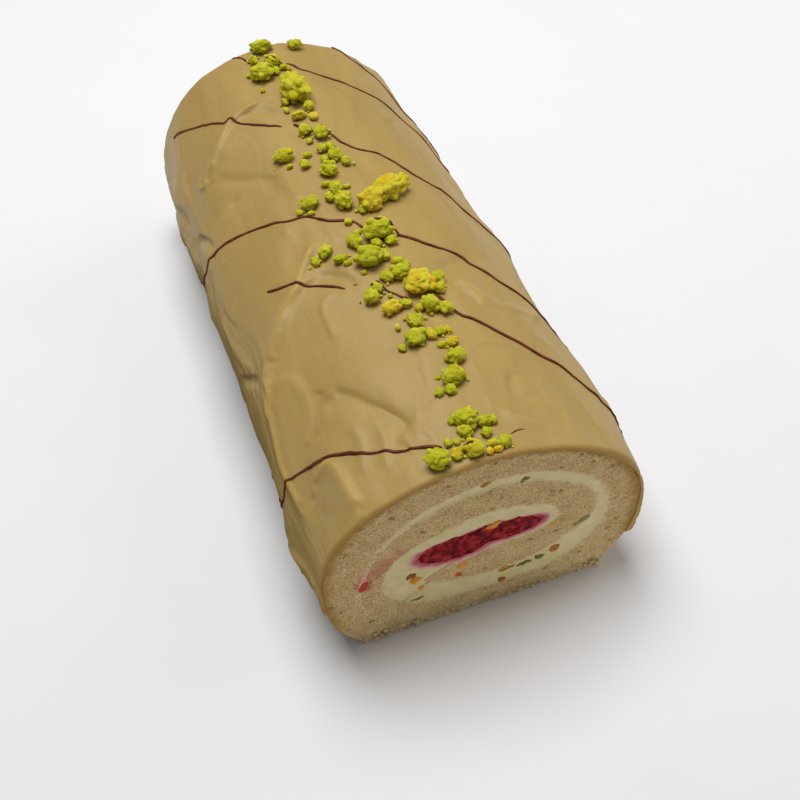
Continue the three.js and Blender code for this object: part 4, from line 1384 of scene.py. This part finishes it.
def build_floor(colour):
    """A plain painted floor. It shows, but neither blocks light nor throws it back on the cake."""
    line = np.linspace(-FLOOR_REACH, FLOOR_REACH, FLOOR_STEPS + 1)
    x, y = np.meshgrid(line, line, indexing="ij")
    material, tree, shader, place = new_material("matt_paint", Roughness=0.8)
    faint = tuple(c * 0.985 for c in colour)
    surfaced(tree, shader, layered(tree, colour, (pattern(tree, NOISE, place, 60), 0.3, 0.7, 1, faint)))
    floor = flat_sheet("floor", x, y, FLOOR_HEIGHT, material)
    floor.visible_diffuse = False
    floor.visible_glossy = False
    floor.visible_shadow = False


# ------------------------------------------------------------------ settings and operators


def colour_setting(name, description, value):
    """A colour property with an sRGB hex default."""
    return bpy.props.FloatVectorProperty(name=name, description=description, subtype="COLOR", size=3,
                                         min=0, max=1, default=linear(value))


class SwissRollLooks(bpy.types.PropertyGroup):
    """Sizes and colours of the cake."""
    pit_depth: bpy.props.FloatProperty(name="Pits", default=0.7 * MM, min=0, unit="LENGTH",
                                       description="Depth of the deepest pits in the cut sponge")
    thread_width: bpy.props.FloatProperty(name="Thread width", subtype="FACTOR", default=1, min=0.1, max=3,
                                          description="Width of the chocolate threads over their own")
    foot_crumbs: bpy.props.IntProperty(name="Foot crumbs", default=620, min=1,
                                       description="Number of sponge crumbs at the foot of the roll")
    dust: bpy.props.IntProperty(name="Green dust", default=120, min=1,
                                description="Number of the smallest green crumbs")
    sponge: colour_setting("Sponge", "Pale crumb of the baked sponge", "#dcbd80")
    cream: colour_setting("Cream", "Whipped cream between the turns", "#e6d39e")
    jam: colour_setting("Jam", "Berry jam in the middle", "#a0181e")
    glaze: colour_setting("Glaze", "Caramel glaze where it is thick", "#b49654")
    glaze_deep: colour_setting("Glaze, thin", "Caramel glaze where it is thin", "#aa8d4e")
    threads: colour_setting("Threads", "Dark chocolate threads", "#7d3a1c")
    crumb_green: colour_setting("Green crumbs", "Green cake crumbs on the top", "#bbb91e")
    crumb_yellow: colour_setting("Yellow crumbs", "Yellow cake crumbs among the green ones", "#dfc12a")


class SwissRollStage(bpy.types.PropertyGroup):
    """Floor and light round the cake."""
    floor: colour_setting("Floor", "Painted floor", "#f2f2f4")
    sky: bpy.props.FloatProperty(name="Sky", description="Strength of the even light from all round",
                                 default=0.17, min=0)
    shade: bpy.props.FloatProperty(name="Shade", description="Strength of the light from below",
                                   default=0.04, min=0)
    top_lamp: bpy.props.FloatProperty(name="Top lamp", description="Power of the large lamp overhead",
                                      default=20.5, min=0, unit="POWER")
    right_lamp: bpy.props.FloatProperty(name="Right lamp", default=3.4, min=0, unit="POWER",
                                        description="Power of the weak lamp on the right")
    glow: bpy.props.FloatProperty(name="Glow", description="Strength of the light thrown up by the table",
                                  default=0.9, min=0)


class SWISSROLL_OT_sponge(bpy.types.Operator):
    """Builds the rolled sponge sheet, its crumbly underside and its loose crumbs"""
    bl_idname = "swissroll.sponge"
    bl_label = "Sponge"

    def execute(self, context):
        looks = context.scene.swiss_roll_looks
        build_sponge(looks)
        build_crust()
        build_loose_crumbs(looks.foot_crumbs)
        return {"FINISHED"}


class SWISSROLL_OT_filling(bpy.types.Operator):
    """Builds the cream, the jam and the pieces of fruit and nut in them"""
    bl_idname = "swissroll.filling"
    bl_label = "Cream and jam"

    def execute(self, context):
        build_cream(context.scene.swiss_roll_looks)
        build_jam(context.scene.swiss_roll_looks)
        build_fruit()
        return {"FINISHED"}


class SWISSROLL_OT_glaze(bpy.types.Operator):
    """Builds the caramel glaze and the chocolate threads on it"""
    bl_idname = "swissroll.glaze"
    bl_label = "Glaze"

    def execute(self, context):
        build_glaze(context.scene.swiss_roll_looks)
        build_threads(context.scene.swiss_roll_looks)
        return {"FINISHED"}


class SWISSROLL_OT_crumbs(bpy.types.Operator):
    """Strews the green cake crumbs along the top"""
    bl_idname = "swissroll.crumbs"
    bl_label = "Green crumbs"

    def execute(self, context):
        build_crumbs(context.scene.swiss_roll_looks)
        return {"FINISHED"}


class SWISSROLL_OT_stage(bpy.types.Operator):
    """Adds the floor, the light and the camera"""
    bl_idname = "swissroll.stage"
    bl_label = "Stage"

    def execute(self, context):
        stage = context.scene.swiss_roll_stage
        build_floor(tuple(stage.floor))
        build_camera()
        build_light("top_lamp", TOP_LAMP_PLACE, stage.top_lamp)
        build_light("right_lamp", RIGHT_LAMP_PLACE, stage.right_lamp)
        build_glow(stage.glow)
        build_sky(context.scene, stage.sky, stage.shade)
        context.scene.view_settings.view_transform = "Standard"
        return {"FINISHED"}


class SWISSROLL_PT_panel(bpy.types.Panel):
    """Sizes, colours and pieces of the swiss roll"""
    bl_idname = "SWISSROLL_PT_panel"
    bl_label = "Swiss roll"
    bl_space_type = "VIEW_3D"
    bl_region_type = "UI"
    bl_category = "Swiss roll"

    def draw(self, context):
        for group in (context.scene.swiss_roll_looks, context.scene.swiss_roll_stage):
            for name in group.__annotations__:
                self.layout.prop(group, name)
        for operator in OPERATORS:
            self.layout.operator(operator.bl_idname)


OPERATORS = (SWISSROLL_OT_sponge, SWISSROLL_OT_filling, SWISSROLL_OT_glaze, SWISSROLL_OT_crumbs,
             SWISSROLL_OT_stage)
CLASSES = (SwissRollLooks, SwissRollStage, *OPERATORS, SWISSROLL_PT_panel)


def register():
    for cls in CLASSES:
        bpy.utils.register_class(cls)
    bpy.types.Scene.swiss_roll_looks = bpy.props.PointerProperty(type=SwissRollLooks)
    bpy.types.Scene.swiss_roll_stage = bpy.props.PointerProperty(type=SwissRollStage)


def unregister():
    del bpy.types.Scene.swiss_roll_stage
    del bpy.types.Scene.swiss_roll_looks
    for cls in reversed(CLASSES):
        bpy.utils.unregister_class(cls)


def main():
    """Builds the cake and its stage."""
    register()
    bpy.ops.swissroll.sponge()
    bpy.ops.swissroll.filling()
    bpy.ops.swissroll.glaze()
    bpy.ops.swissroll.crumbs()
    bpy.ops.swissroll.stage()


if __name__ == "__main__":
    main()
